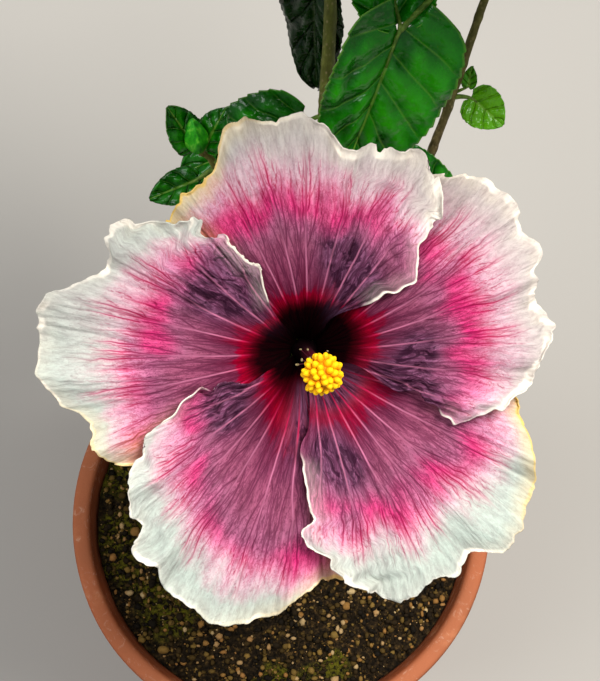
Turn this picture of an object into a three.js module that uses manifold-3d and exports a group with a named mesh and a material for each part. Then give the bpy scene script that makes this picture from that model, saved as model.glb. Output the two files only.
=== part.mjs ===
// A potted hibiscus: a clay pot of damp potting mix, a forked woody stem with leafy shoots,
// and one large bloom of five overlapping petals that faces up and a little forward.
// Millimetres, +Z up. The origin is the middle of the pot's underside, and -Y is the front.
import * as THREE from "three";
import { mergeVertices } from "three/addons/utils/BufferGeometryUtils.js";
import Module from "manifold-3d";

const wasm = await Module();
wasm.setup();
const { Manifold } = wasm;

// Driving sizes
const GAP = 0.3; // clearance wherever two pieces touch
const POT = {
  rimRadius: 110,
  height: 190,
  footRadius: 74,
  collarHeight: 34,
  collarStep: 5.5,
  wall: 9.5,
  floor: 12,
  soilDrop: 14,
  drainHoles: 3,
  drainRadius: 6,
  drainCircle: 38,
  sides: 32,
};
const SOIL = { level: POT.height - POT.soilDrop, flatRadius: 26, bump: 1.6 };
const TRUNK = {
  route: [[4, -6, SOIL.level + GAP], [3, -4, 192], [4.5, 1, 212], [5, 5, 232]],
  footRadius: 9.5,
  radius: 7,
  tipRadius: 5.6,
  flareShare: 0.22,
};
const BLOOM = {
  base: [11.7, 36.6, 393.9],
  axis: [0.069, -0.344, 0.937],
  clawRadius: 4.6, // where the petals leave the calyx, from the bloom's axis
  depth: 54, // how far the flared part stands above the claws
  flare: 17, // how quickly the funnel opens
  recurveFrom: 58,
  recurve: 0.0022,
  thickness: 1.05,
  overlapAtClaw: 1.9, // height between one petal and the next where they overlap
  overlapAtMargin: 7,
  ruffle: 2.3,
};
const COLUMN = { length: 79, baseRadius: 2.7, tipRadius: 1.7, stamens: 16, stamenFrom: 38, stamenTo: 73 };
const HEAD = { height: 85.5, core: 5.4, beads: 16, beadRadius: 2.7, lowest: -0.72 };
const CALYX = {
  top: -0.7, // below the petals' claws
  length: 26,
  footRadius: 3,
  rimRadius: 8.2,
  lobes: { count: 5, length: 15, halfWidth: 4.2, lean: 0.42 },
  bracts: { count: 7, length: 11, halfWidth: 1.3, lean: 0.95 },
};
const LEAF = { thicknessShare: 0.013, leastThickness: 0.75, petioleRadius: 1.15, stalkShare: 0.3 };
const TWIG = { lean: 0.9, footRadius: 1.5, tipRadius: 0.8, firstLeaf: 0.4 };

// Each petal by its heading round the bloom's axis, seen from in front, in degrees anticlockwise
// from the right. margin holds its length from the axis at even steps from the edge that lies
// under its neighbour to the edge that lies over it, and edge how far that second edge is drawn
// in, in degrees, at even steps from EDGE_FROM outwards.
const PETAL_HALF_ANGLE = 46;
const EDGE_FROM = 15;
const EDGE_STEP = 11;
const PETALS = {
  petal_top: {
    heading: 93,
    margin: [69, 76, 78, 78, 82, 89, 91, 91, 89, 85.5, 79, 81, 83, 85, 81, 74, 65],
    edge: [22, 3, -2, -4, -1, 0],
    waves: 5.2,
    phase: 0.6,
  },
  petal_right: {
    heading: 21,
    margin: [67.5, 75, 81, 90, 92.5, 93.5, 93, 94.5, 87.5, 85, 87.5, 87, 82, 79, 74, 68, 58.5],
    edge: [24, 9, 8, 6, 4, 5],
    waves: 4.6,
    phase: 2.1,
  },
  petal_lower_right: {
    heading: -51,
    margin: [69.5, 75.5, 80.5, 88.5, 94.5, 98, 99.5, 98.5, 92, 96, 92.5, 93.5, 93.5, 88.5, 81.5, 73, 63],
    edge: [7, 4, -1, 4, 2, 6],
    waves: 4.2,
    phase: 3.4,
  },
  petal_lower_left: {
    heading: -123,
    margin: [76.5, 83, 82.5, 87.5, 96.5, 102, 102, 101, 99.5, 94, 94.5, 88.5, 86.5, 81, 74, 63, 46],
    edge: [5, 9, 2, 4, 5, 6],
    waves: 4.8,
    phase: 5.0,
  },
  petal_upper_left: {
    heading: 165,
    margin: [72, 82, 84.5, 85, 96, 101, 102, 101, 99.5, 87, 84, 87, 86, 76, 71, 65, 55],
    edge: [12, 8, 3, 4, 5, 3],
    waves: 5.0,
    phase: 1.3,
  },
};

// Where leaves may grow. The lower shoots keep to the bloom's shade, a cone that widens downwards
// and slants back, and the tall shoots to the space behind a plane that slopes up to the front.
const SHADE = { x: 11, yAtBloom: 20, bloomHeight: 441, slant: 0.25, radius: 64, widening: 0.12 };
const BEHIND = { yAtGround: 406, slope: 0.5272, top: 680 };
const LIMB_CLEARANCE = 3.2; // between a leaf and any limb
const MASS_CLEARANCE = 8; // between points on leaves of two masses
const LEAF_CLEARANCE = 7; // between points on the blades of one mass

// The shoots. route runs from inside the trunk to the shoot's tip, and split is the share of it
// where the bare bough ends and the leafy stem begins. Between leafyFrom and 1 the seeded rule
// grows the stem's own leaves and its twigs, which bear twigLeaves each.
const SHOOTS = {
  back: {
    route: [
      [5, 5, 226], [8, 40, 280], [14, 88, 338], [19, 121, 384],
      [20.4, 136, 420], [21.2, 150.3, 470], [18, 160, 530], [12, 158, 585], [4, 140, 636],
    ],
    radii: [4.6, 1.3],
    split: 0.27,
    seed: 11,
    leafyFrom: 0.66,
    stemLeaves: 8,
    twigs: 7,
    twigLeaves: 4,
    twigLength: [100, 56],
    leafLength: [72, 48],
    space: { behind: true, most: { x: 58 } },
  },
  right: {
    route: [
      [6, 0, 212], [25, 30, 262], [47, 78, 322], [60.5, 113, 375], [70.5, 134, 420],
      [79.5, 155.6, 460], [89, 174, 500], [96, 178, 550], [98, 164, 604],
    ],
    radii: [3.8, 1.2],
    split: 0.27,
    seed: 31,
    leafyFrom: 0.66,
    stemLeaves: 8,
    twigs: 7,
    twigLeaves: 4,
    twigLength: [92, 52],
    leafLength: [70, 46],
    space: { behind: true, least: { x: 62 } },
  },
  flower: {
    route: [[5, 3, 227], [5, 7, 262], [7, 26, 300], [10, 52, 334]],
    radii: [3.4, 2.1],
    split: 0.5,
    seed: 37,
    leafyFrom: 0.54,
    stemLeaves: 9,
    twigs: 0,
    leafLength: [64, 54],
    space: { shade: true, least: { x: -1, y: 19, z: 280 }, most: { z: 376 } },
  },
  left: {
    route: [
      [3, 4, 222], [-5, 32, 270], [-12, 64, 322], [-18, 88, 376], [-23, 101.9, 425], [-28.7, 103.2, 440],
    ],
    radii: [2.9, 1.2],
    split: 0.34,
    seed: 41,
    leafyFrom: 0.38,
    leafyTo: 0.7,
    stemLeaves: 8,
    twigs: 0,
    leafLength: [60, 46],
    space: { shade: true, least: { z: 280 }, most: { x: -4, z: 380 } },
  },
  low_right: {
    route: [[6, -4, 196], [26, 8, 220], [42, 22, 244], [52, 38, 272]],
    radii: [2.8, 1.3],
    split: 0,
    seed: 53,
    leafyFrom: 0.42,
    stemLeaves: 10,
    twigs: 3,
    twigLeaves: 3,
    twigLength: [46, 34],
    leafLength: [60, 44],
    space: { shade: true, least: { x: 7, z: 184 }, most: { z: 300 } },
  },
  low_left: {
    route: [[2, -4, 204], [-16, 6, 226], [-30, 20, 250], [-38, 36, 276]],
    radii: [2.8, 1.3],
    split: 0,
    seed: 67,
    leafyFrom: 0.42,
    stemLeaves: 10,
    twigs: 3,
    twigLeaves: 3,
    twigLength: [46, 34],
    leafLength: [60, 44],
    space: { shade: true, least: { z: 184 }, most: { x: 3, z: 300 } },
  },
  low_front: {
    route: [[4, -4, 212], [8, -17, 240], [12, -19, 272], [15, -12, 306]],
    radii: [2.6, 1.2],
    split: 0,
    seed: 79,
    leafyFrom: 0.34,
    stemLeaves: 10,
    twigs: 0,
    leafLength: [54, 44],
    space: { shade: true, least: { x: -22, z: 250 }, most: { x: 60, y: 16, z: 366 } },
  },
};

// The twig that carries the broad leaf over the bloom's far edge, and the leaves that show beside
// the bloom. at is the share of the shoot's route where a leaf stalk or twig leaves it.
// A lopsided leaf is wider on one side of its midrib.
const GREEN_TWIG = {
  shoot: "right", at: 0.69, route: [[66, 152, 484], [46.3, 134.2, 478]], radii: [1.6, 1.2],
};
const SHOWN_LEAVES = [
  {
    shoot: "right", onTwig: true, base: [45.8, 133.2, 478], tip: [24.7, 89.6, 420.5],
    width: 58, lopsided: -0.25, facing: [0.3, -0.42, 0.86],
  },
  {
    shoot: "right", onTwig: true, base: [46, 136.5, 479.5], tip: [34, 188, 488],
    width: 32, facing: [0.1, -0.3, 0.95],
  },
  {
    shoot: "right", at: 0.5, base: [78, 133.5, 421], tip: [91, 123, 417],
    width: 15, facing: [-0.5, -0.7, 0.5],
  },
  {
    shoot: "right", at: 0.505, base: [76.6, 136, 424.5], tip: [77.5, 142, 431],
    width: 6, facing: [-0.2, -0.8, 0.5],
  },
  {
    shoot: "right", at: 0.385, base: [69, 105, 376], tip: [47, 120, 407],
    width: 23, facing: [0.1, -0.7, 0.7],
  },
  {
    shoot: "back", at: 0.7, base: [15, 162, 474], tip: [15, 137.5, 414],
    width: 32, facing: [-0.85, -0.2, 0.5],
  },
  {
    shoot: "back", at: 0.46, base: [11, 131, 400], tip: [-41, 116, 382],
    width: 38, facing: [0, -0.4, 0.9],
  },
  {
    shoot: "back", at: 0.42, base: [21.5, 124, 392], tip: [46, 110, 402],
    width: 20, facing: [0, -0.3, 0.95],
  },
  {
    shoot: "left", at: 0.98, base: [-30.5, 104.5, 441], tip: [-38.5, 113, 457],
    width: 15, facing: [0.6, -0.5, 0.6],
  },
  {
    shoot: "left", at: 0.975, base: [-26, 104, 441], tip: [-18.5, 114.5, 453],
    width: 14, facing: [-0.6, -0.6, 0.5],
  },
  {
    shoot: "left", at: 0.8, base: [-29.7, 97.5, 424], tip: [-48.5, 89.5, 424],
    width: 14, facing: [0, -0.3, 0.95],
  },
  {
    shoot: "left", at: 0.84, base: [-20.5, 101.5, 430], tip: [-12, 101, 442],
    width: 9, facing: [-0.3, -0.6, 0.7],
  },
];
const BUD = { shoot: "left", base: [-28.7, 103.2, 439], tip: [-30.3, 110.5, 453], radius: 4.2 };

// Plain mathematics
const vec = (point) => new THREE.Vector3(...point);
const radians = THREE.MathUtils.degToRad;
const smooth = (x, low, high) => THREE.MathUtils.smoothstep(x, low, high);
const GOLDEN_TURN = radians(137.5);

function drawsFrom(seed) {
  let state = seed >>> 0;
  return () => {
    state = (Math.imul(state, 1664525) + 1013904223) >>> 0;
    return state / 4294967296;
  };
}

// A smooth value at x, from 0 to 1, through evenly spaced values.
function through(values, x) {
  const last = values.length - 1;
  const place = THREE.MathUtils.clamp(x, 0, 1) * last;
  const i = Math.min(Math.floor(place), last - 1);
  const t = place - i;
  const at = (k) => {
    if (k < 0) return 2 * values[0] - values[1];
    return k > last ? 2 * values[last] - values[last - 1] : values[k];
  };
  const [a, b, c, d] = [at(i - 1), at(i), at(i + 1), at(i + 2)];
  const startSlope = (c - a) / 2;
  const endSlope = (d - b) / 2;
  return (
    (2 * b - 2 * c + startSlope + endSlope) * t ** 3 +
    (3 * c - 3 * b - 2 * startSlope - endSlope) * t ** 2 +
    startSlope * t + b
  );
}

// Solids: a closed three.js geometry becomes a solid that can be joined and cut.
function solidOf(geometry) {
  const bare = geometry.clone();
  bare.deleteAttribute("normal");
  bare.deleteAttribute("uv");
  const merged = mergeVertices(bare, 1e-4);
  return new Manifold(new wasm.Mesh({
    numProp: 3,
    vertProperties: merged.attributes.position.array,
    triVerts: new Uint32Array(merged.index.array),
  }));
}

function meshOf(name, solid, material) {
  const { vertProperties, triVerts } = solid.getMesh();
  const geometry = new THREE.BufferGeometry();
  geometry.setAttribute("position", new THREE.BufferAttribute(vertProperties, 3));
  geometry.setIndex(new THREE.BufferAttribute(triVerts, 1));
  geometry.computeVertexNormals();
  const mesh = new THREE.Mesh(geometry, material);
  mesh.name = name;
  return mesh;
}

function moveVertices(geometry, move) {
  const place = geometry.attributes.position;
  for (let i = 0; i < place.count; i++) {
    const moved = move(place.getX(i), place.getY(i), place.getZ(i));
    place.setXYZ(i, moved.x, moved.y, moved.z);
  }
  return geometry;
}

function curveOf(points) {
  return new THREE.CatmullRomCurve3(points.map(vec), false, "catmullrom", 0.5);
}

// The tangent and two directions across a curve, at a share of its length.
function acrossCurve(curve, along) {
  const tangent = curve.getTangent(THREE.MathUtils.clamp(along, 0, 1));
  const side = new THREE.Vector3(1, 0, 0);
  if (Math.abs(tangent.x) > 0.9) side.set(0, 1, 0);
  side.addScaledVector(tangent, -side.dot(tangent)).normalize();
  return { tangent, side, other: side.clone().cross(tangent) };
}

// A point on a curve, or straight on from its end.
function curvePoint(curve, along) {
  const on = THREE.MathUtils.clamp(along, 0, 1);
  return curve.getPoint(on).addScaledVector(curve.getTangent(on), (along - on) * curve.getLength());
}

// A round limb on a curve: a cylinder bent along it, its radius a function of the share along.
// grow makes it larger all round, ends too, to cut a clear seat for it in its neighbours.
function limb(curve, radiusAt, { from = 0, to = 1, sides = 6, steps = 6, grow = 0 } = {}) {
  const cylinder = new THREE.CylinderGeometry(1, 1, 1, sides, steps);
  const longer = grow / curve.getLength();
  return solidOf(moveVertices(cylinder, (x, y, z) => {
    const along = from - longer + (to - from + 2 * longer) * (y + 0.5);
    const { side, other } = acrossCurve(curve, along);
    const radius = radiusAt(THREE.MathUtils.clamp(along, 0, 1)) + grow;
    return curvePoint(curve, along).addScaledVector(side, radius * x).addScaledVector(other, radius * z);
  }));
}

// A thin blade of even thickness: a box laid on a surface of across from -1 to 1 and along 0 to 1.
function blade(surface, columns, rows, thickness) {
  const step = 1e-3;
  const box = new THREE.BoxGeometry(1, 1, 1, columns, rows, 1);
  return solidOf(moveVertices(box, (x, y, z) => {
    const across = 2 * x;
    const along = y + 0.5;
    const sideways = surface(across + step, along).sub(surface(across - step, along));
    const onward = surface(across, along + step).sub(surface(across, along - step));
    const normal = sideways.cross(onward).normalize();
    return surface(across, along).addScaledVector(normal, z * thickness);
  }));
}

// A round solid from its profile of radius and height.
function lathe(profile, sides) {
  const points = profile.map(([radius, height]) => new THREE.Vector2(radius, height));
  return new THREE.LatheGeometry(points, sides).rotateX(Math.PI / 2);
}

// Materials
const paint = (color, roughness) => new THREE.MeshStandardMaterial({ color, roughness, metalness: 0 });
const CLAY = paint(0xb5704a, 0.85);
const POTTING_MIX = paint(0x3a2b1c, 0.95);
const BARK = paint(0x6f6238, 0.75);
const LEAF_GREEN = paint(0x1f6b1c, 0.4);
const STALK_GREEN = paint(0x6f8f35, 0.6);
const PETAL_PINK = paint(0xd98fb0, 0.7);
const COLUMN_RED = paint(0x8c2340, 0.6);
const POLLEN_YELLOW = paint(0xf4bd10, 0.8);

// Pot: a tapered body with a collar, a rim with a raised outer bead, and drain holes.
function potInnerRadius(height) {
  const share = (height - POT.floor) / (POT.height - POT.floor);
  const atFloor = POT.footRadius - POT.wall + 1;
  return atFloor + (POT.rimRadius - POT.wall - atFloor) * share;
}

function pot() {
  const { rimRadius, height, footRadius, collarHeight, collarStep, floor } = POT;
  const collarFoot = height - collarHeight;
  const bodyTop = rimRadius - collarStep - 2;
  const profile = [
    [0, 0], [footRadius - 2, 0], [footRadius, 2],
    [bodyTop, collarFoot - 1], [rimRadius - 1.5, collarFoot + 1], [rimRadius, collarFoot + 3],
    [rimRadius, height - 3.5], [rimRadius - 0.8, height - 1], [rimRadius - 2, height],
    [rimRadius - 3.2, height - 1], [rimRadius - 8, height - 1.2], [potInnerRadius(height), height - 3.4],
    [potInnerRadius(floor), floor], [0, floor],
  ];
  let solid = solidOf(lathe(profile, POT.sides));
  for (let i = 0; i < POT.drainHoles; i++) {
    const turn = (i / POT.drainHoles) * 2 * Math.PI;
    const hole = new THREE.CylinderGeometry(POT.drainRadius, POT.drainRadius, 3 * floor, 16);
    const centre = [POT.drainCircle * Math.cos(turn), POT.drainCircle * Math.sin(turn), 0];
    hole.rotateX(Math.PI / 2).translate(...centre);
    solid = solid.subtract(solidOf(hole));
  }
  return meshOf("pot", solid, CLAY);
}

// Potting mix: fills the pot to below its rim, flat round the trunk and uneven further out.
function pottingSoil() {
  const bottom = POT.floor + GAP;
  const wallAt = (height) => potInnerRadius(height) - 2 * GAP;
  const top = [1, 0.76, 0.52, 0.28, 0].map((ring) => [ring * wallAt(SOIL.level), SOIL.level]);
  const even = lathe([[0, bottom], [wallAt(bottom), bottom], ...top], POT.sides);
  const uneven = moveVertices(even, (x, y, z) => {
    const out = Math.hypot(x, y);
    const loose = z > SOIL.level - 1 ? smooth(out, SOIL.flatRadius, SOIL.flatRadius * 1.6) : 0;
    const bump = Math.sin(0.09 * x + 1.3) * Math.cos(0.08 * y - 0.4);
    return new THREE.Vector3(x, y, z + loose * SOIL.bump * bump);
  });
  return meshOf("potting_soil", solidOf(uneven), POTTING_MIX);
}

// Trunk and boughs
const trunkCurve = curveOf(TRUNK.route);
function trunkRadius(along) {
  const flare = (TRUNK.footRadius - TRUNK.radius) * (1 - smooth(along, 0, TRUNK.flareShare));
  return THREE.MathUtils.lerp(TRUNK.radius, TRUNK.tipRadius, along) + flare;
}
const trunkSolid = (grow = 0) => limb(trunkCurve, trunkRadius, { sides: 12, steps: 9, grow });

// The trunk's cut foot is level, though its route leans.
function trunk() {
  const level = new THREE.BoxGeometry(60, 60, 20).translate(4, -6, SOIL.level + GAP - 10);
  const lowered = curveOf([[4.4, -6.6, SOIL.level - 4], ...TRUNK.route.slice(1)]);
  const solid = limb(lowered, trunkRadius, { sides: 12, steps: 9 }).subtract(solidOf(level));
  return meshOf("trunk", solid, BARK);
}

const curves = {};
for (const [name, shoot] of Object.entries(SHOOTS)) curves[name] = curveOf(shoot.route);
const shootRadius = (shoot) => (along) => THREE.MathUtils.lerp(shoot.radii[0], shoot.radii[1], along ** 0.8);

// How far apart, as a share of the route, the bough's end face and the leafy stem's are.
function gapShare(curve, along) {
  const step = 1e-3;
  return (GAP * step) / curve.getPoint(along).distanceTo(curve.getPoint(along + step));
}

// The largest body of a solid, with any hollow that joining has sealed filled.
const largestBody = (solid) => solid.decompose().sort((a, b) => b.volume() - a.volume())[0];

const grownLimbs = [trunkSolid(GAP)];
function clearOfLimbs(solid) {
  for (const grown of grownLimbs) solid = solid.subtract(grown);
  return largestBody(solid);
}

function bough(name) {
  const shoot = SHOOTS[name];
  const options = { to: shoot.split, sides: 8, steps: 7 };
  const solid = clearOfLimbs(limb(curves[name], shootRadius(shoot), options));
  grownLimbs.push(limb(curves[name], shootRadius(shoot), { ...options, grow: GAP }));
  return meshOf(`bough_${name}`, solid, BARK);
}

// Leaves. A leaf is given by its stalk's start, the blade's base and axis, and the way it faces.
const LEAF_OUTLINE_PEAK = 0.477;
const leafOutline = (along) => (along ** 0.4 * (1 - along) ** 0.743) / LEAF_OUTLINE_PEAK;

function leafSurface(leaf) {
  const onward = leaf.axis;
  const sideways = onward.clone().cross(leaf.facing).normalize();
  const up = sideways.clone().cross(onward);
  return (across, along) => {
    const kept = 0.02 + 0.96 * THREE.MathUtils.clamp(along, 0, 1);
    const wider = 1 + leaf.lopsided * Math.sign(across);
    const out = (across * leaf.width * leafOutline(kept) * wider) / 2;
    const rise = leaf.fold * Math.abs(out) - leaf.droop * leaf.length * along ** 2;
    return leaf.base.clone().addScaledVector(onward, leaf.length * along)
      .addScaledVector(sideways, out).addScaledVector(up, rise);
  };
}

function stalkSolid(leaf, into, steps) {
  const arch = leaf.start.clone().lerp(leaf.base, 0.55);
  arch.z += 0.08 * leaf.start.distanceTo(leaf.base);
  const stalkEnd = leafSurface(leaf)(0, into);
  const stalk = new THREE.CatmullRomCurve3([leaf.start, arch, leaf.base, stalkEnd], false, "catmullrom", 0.5);
  const thin = Math.min(LEAF.petioleRadius, 0.045 * leaf.length + 0.35);
  return limb(stalk, (along) => thin * (1.15 - 0.4 * along), { sides: 3, steps });
}

// A leaf that shows beside the bloom has an even blade, and one grown by the rule eight edges
// and a low ridge under and over its middle.
function shownLeafSolids(leaf) {
  const [columns, rows] = leaf.width > 40 ? [4, 5] : [2, 3];
  const thickness = Math.max(LEAF.thicknessShare * leaf.length, LEAF.leastThickness);
  return [stalkSolid(leaf, 0.07, 2), blade(leafSurface(leaf), columns, rows, thickness)];
}

function grownLeafSolids(leaf) {
  const surface = leafSurface(leaf);
  const ridge = leaf.facing.clone().normalize().multiplyScalar(1.3 * LEAF.thicknessShare * leaf.length);
  const plate = moveVertices(new THREE.SphereGeometry(1, 8, 2), (x, y, z) => {
    if (Math.abs(y) > 0.5) return surface(0, 0.42).addScaledVector(ridge, Math.sign(y));
    return surface(Math.abs(z) < 0.1 ? 0 : -Math.sign(z), (1 - x) / 2);
  });
  return [stalkSolid(leaf, 0.2, 1), solidOf(plate)];
}

const SAMPLES_ACROSS = [-1, -0.5, 0, 0.5, 1];
const SAMPLES_ALONG = [0, 0.13, 0.25, 0.38, 0.5, 0.63, 0.75, 0.88, 1];
const bladePoints = (leaf) => {
  const surface = leafSurface(leaf);
  return SAMPLES_ACROSS.flatMap((across) => SAMPLES_ALONG.map((along) => surface(across, along)));
};
const stalkPoints = (leaf) => [0.5, 0.75].map((share) => leaf.start.clone().lerp(leaf.base, share));

const LIMB_SAMPLES = 80;
const limbPoints = [];
for (const [name, shoot] of Object.entries(SHOOTS)) {
  for (let i = 0; i <= LIMB_SAMPLES; i++) {
    const along = i / LIMB_SAMPLES;
    limbPoints.push({ name, at: curves[name].getPoint(along), radius: shootRadius(shoot)(along) });
  }
}
const leafPoints = []; // of every leaf placed so far, with its mass, and whether on its blade

function insideSpace(space, point) {
  const { least = {}, most = {} } = space;
  for (const key of ["x", "y", "z"]) {
    if (point[key] < (least[key] ?? -Infinity) || point[key] > (most[key] ?? Infinity)) return false;
  }
  if (space.behind) return point.z < BEHIND.top && point.y > BEHIND.yAtGround - BEHIND.slope * point.z;
  const below = SHADE.bloomHeight - point.z;
  const centre = SHADE.yAtBloom + SHADE.slant * below;
  return Math.hypot(point.x - SHADE.x, point.y - centre) < SHADE.radius + SHADE.widening * below;
}

// Whether a leaf keeps to its mass's space, off every limb, and away from the other masses.
function leafFits(name, leaf) {
  const onBlade = bladePoints(leaf);
  const onStalk = stalkPoints(leaf);
  const near = (point, other, reach) => other.at.distanceToSquared(point) < reach * reach;
  const hits = (point, limbs) => limbs.some((limb) => near(point, limb, limb.radius + LIMB_CLEARANCE));
  const otherLimbs = limbPoints.filter((limb) => limb.name !== name);
  const otherLeaves = leafPoints.filter((one) => one.name !== name);
  const ownBlades = leafPoints.filter((one) => one.name === name && one.onBlade);
  const all = [...onBlade, ...onStalk];
  if (all.some((point) => !insideSpace(SHOOTS[name].space, point))) return false;
  if (onBlade.some((point) => hits(point, limbPoints)) || onStalk.some((point) => hits(point, otherLimbs))) {
    return false;
  }
  if (onBlade.some((point) => ownBlades.some((one) => near(point, one, LEAF_CLEARANCE)))) return false;
  return !all.some((point) => otherLeaves.some((one) => near(point, one, MASS_CLEARANCE)));
}

function placeLeaf(name, leaf) {
  for (const at of bladePoints(leaf)) leafPoints.push({ name, at, onBlade: true });
  for (const at of stalkPoints(leaf)) leafPoints.push({ name, at, onBlade: false });
  return leaf;
}

// A leaf of the rule: its stalk leaves the stem at an angle, and its blade turns out and down.
function leafByRule(curve, along, turn, length, tilt) {
  const { tangent, side, other } = acrossCurve(curve, along);
  const start = curve.getPoint(along);
  const out = side.multiplyScalar(Math.cos(turn)).addScaledVector(other, Math.sin(turn));
  const stalk = tangent.clone().multiplyScalar(0.6).addScaledVector(out, 0.8).normalize();
  const base = start.clone().addScaledVector(stalk, LEAF.stalkShare * length);
  const level = new THREE.Vector3(stalk.x, stalk.y, 0).normalize();
  const axis = level.clone().multiplyScalar(Math.cos(tilt)).setZ(-Math.sin(tilt));
  const facing = new THREE.Vector3(-0.1 * axis.x, -0.1 * axis.y - 0.15, 1);
  return { start, base, axis, facing, length, width: 0.7 * length, lopsided: 0, fold: 0.2, droop: 0.16 };
}

// A twig of the rule: it leaves the stem at a lean and bends up.
function twigByRule(curve, along, turn, length) {
  const { tangent, side, other } = acrossCurve(curve, along);
  const out = side.multiplyScalar(Math.cos(turn)).addScaledVector(other, Math.sin(turn));
  const heading = tangent.clone().multiplyScalar(Math.cos(TWIG.lean));
  heading.addScaledVector(out, Math.sin(TWIG.lean));
  const start = curve.getPoint(along);
  const middle = start.clone().addScaledVector(heading, length / 2);
  const upward = heading.clone().multiplyScalar(0.6).add(new THREE.Vector3(0, 0, 0.6)).normalize();
  return new THREE.CatmullRomCurve3([start, middle, middle.clone().addScaledVector(upward, length / 2)]);
}

const TURNS_TRIED = [0, 0.6, -0.6, 1.2, -1.2, 1.8, -1.8];
const TWIG_SAMPLES = 8;
function twigFits(name, twig) {
  const otherLeaves = leafPoints.filter((one) => one.name !== name);
  for (let i = 2; i <= TWIG_SAMPLES; i++) {
    const point = twig.getPoint(i / TWIG_SAMPLES);
    if (!insideSpace(SHOOTS[name].space, point)) return false;
    const hits = (one, reach) => one.at.distanceToSquared(point) < reach * reach;
    if (limbPoints.some((limb) => hits(limb, limb.radius + LIMB_CLEARANCE))) return false;
    if (otherLeaves.some((leaf) => hits(leaf, MASS_CLEARANCE))) return false;
  }
  return true;
}

// What the rule grows on one shoot: twigs first, then the stem's leaves and each twig's.
function growShoot(name) {
  const shoot = SHOOTS[name];
  const draw = drawsFrom(shoot.seed);
  const { leafyFrom, leafyTo = 1 } = shoot;
  const grown = { twigs: [], leaves: [] };
  let turn = 2 * Math.PI * draw();
  for (let i = 0; i < shoot.twigs; i++) {
    const share = (i + 0.5) / shoot.twigs;
    const along = THREE.MathUtils.lerp(leafyFrom, leafyTo, share);
    const length = THREE.MathUtils.lerp(...shoot.twigLength, share) * (0.85 + 0.3 * draw());
    turn += GOLDEN_TURN;
    const tries = TURNS_TRIED.map((more) => twigByRule(curves[name], along, turn + more, length));
    const twig = tries.find((one) => twigFits(name, one));
    if (twig) grown.twigs.push(twig);
  }
  const addLeaves = (curve, count, from, to) => {
    for (let i = 0; i < count; i++) {
      const share = count > 1 ? i / (count - 1) : 1;
      const length = THREE.MathUtils.lerp(...shoot.leafLength, share) * (0.85 + 0.3 * draw());
      const tilt = THREE.MathUtils.lerp(0.55, -0.2, share) + 0.6 * (draw() - 0.5);
      const along = THREE.MathUtils.lerp(from, to, share);
      turn += GOLDEN_TURN;
      const tries = TURNS_TRIED.map((more) => leafByRule(curve, along, turn + more, length, tilt));
      const leaf = tries.find((one) => leafFits(name, one));
      if (leaf) grown.leaves.push(placeLeaf(name, leaf));
    }
  };
  addLeaves(curves[name], shoot.stemLeaves, leafyFrom, leafyTo);
  for (const twig of grown.twigs) addLeaves(twig, shoot.twigLeaves, TWIG.firstLeaf, 1);
  return grown;
}

function shownLeaf(given) {
  const base = vec(given.base);
  const reach = vec(given.tip).sub(base);
  const start = given.onTwig ? vec(GREEN_TWIG.route[1]) : curves[given.shoot].getPoint(given.at);
  return {
    start,
    base,
    axis: reach.clone().normalize(),
    facing: vec(given.facing),
    length: reach.length(),
    width: given.width,
    lopsided: given.lopsided ?? 0,
    fold: 0.16,
    droop: 0.06,
  };
}

// Every leaf, mass by mass: those that show beside the bloom are placed before any is grown.
const shownLeaves = {};
for (const name of Object.keys(SHOOTS)) {
  const given = SHOWN_LEAVES.filter((one) => one.shoot === name);
  shownLeaves[name] = given.map((one) => placeLeaf(name, shownLeaf(one)));
}
const grown = {};
for (const name of Object.keys(SHOOTS)) grown[name] = growShoot(name);

// A bud: a ball drawn out to a point along its stalk.
function budSolid() {
  const base = vec(BUD.base);
  const reach = vec(BUD.tip).sub(base);
  const radius = (along) => BUD.radius * Math.sin(Math.PI * Math.min(along + 0.12, 1)) ** 0.8 + 0.25;
  const route = new THREE.CatmullRomCurve3([base, base.clone().addScaledVector(reach, 0.5), vec(BUD.tip)]);
  return limb(route, radius, { sides: 10, steps: 7 });
}

// A mass of foliage: the leafy stem, its twigs and every leaf, fused into one solid.
function foliage(name) {
  const shoot = SHOOTS[name];
  const curve = curves[name];
  const from = shoot.split && shoot.split + gapShare(curve, shoot.split);
  let stem = limb(curve, shootRadius(shoot), { from, sides: 6, steps: 12 });
  if (!shoot.split) stem = clearOfLimbs(stem);
  const twigSolid = (route, radii, steps) =>
    limb(route, (along) => THREE.MathUtils.lerp(...radii, along), { sides: 4, steps });
  const pieces = [stem];
  for (const twig of grown[name].twigs) pieces.push(twigSolid(twig, [TWIG.footRadius, TWIG.tipRadius], 3));
  if (GREEN_TWIG.shoot === name) {
    const route = new THREE.CatmullRomCurve3([curve.getPoint(GREEN_TWIG.at), ...GREEN_TWIG.route.map(vec)]);
    pieces.push(twigSolid(route, GREEN_TWIG.radii, 5));
  }
  for (const leaf of grown[name].leaves) pieces.push(...grownLeafSolids(leaf));
  for (const leaf of shownLeaves[name]) pieces.push(...shownLeafSolids(leaf));
  if (BUD.shoot === name) pieces.push(budSolid());
  return meshOf(`foliage_${name}`, largestBody(Manifold.union(pieces)), LEAF_GREEN);
}

// Bloom, in its own frame: +Z along its axis, +X to the right seen from in front.
const funnelHeight = (out) =>
  BLOOM.depth * (1 - Math.exp(-(out - BLOOM.clawRadius) / BLOOM.flare)) -
  BLOOM.recurve * Math.max(out - BLOOM.recurveFrom, 0) ** 2;

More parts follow.
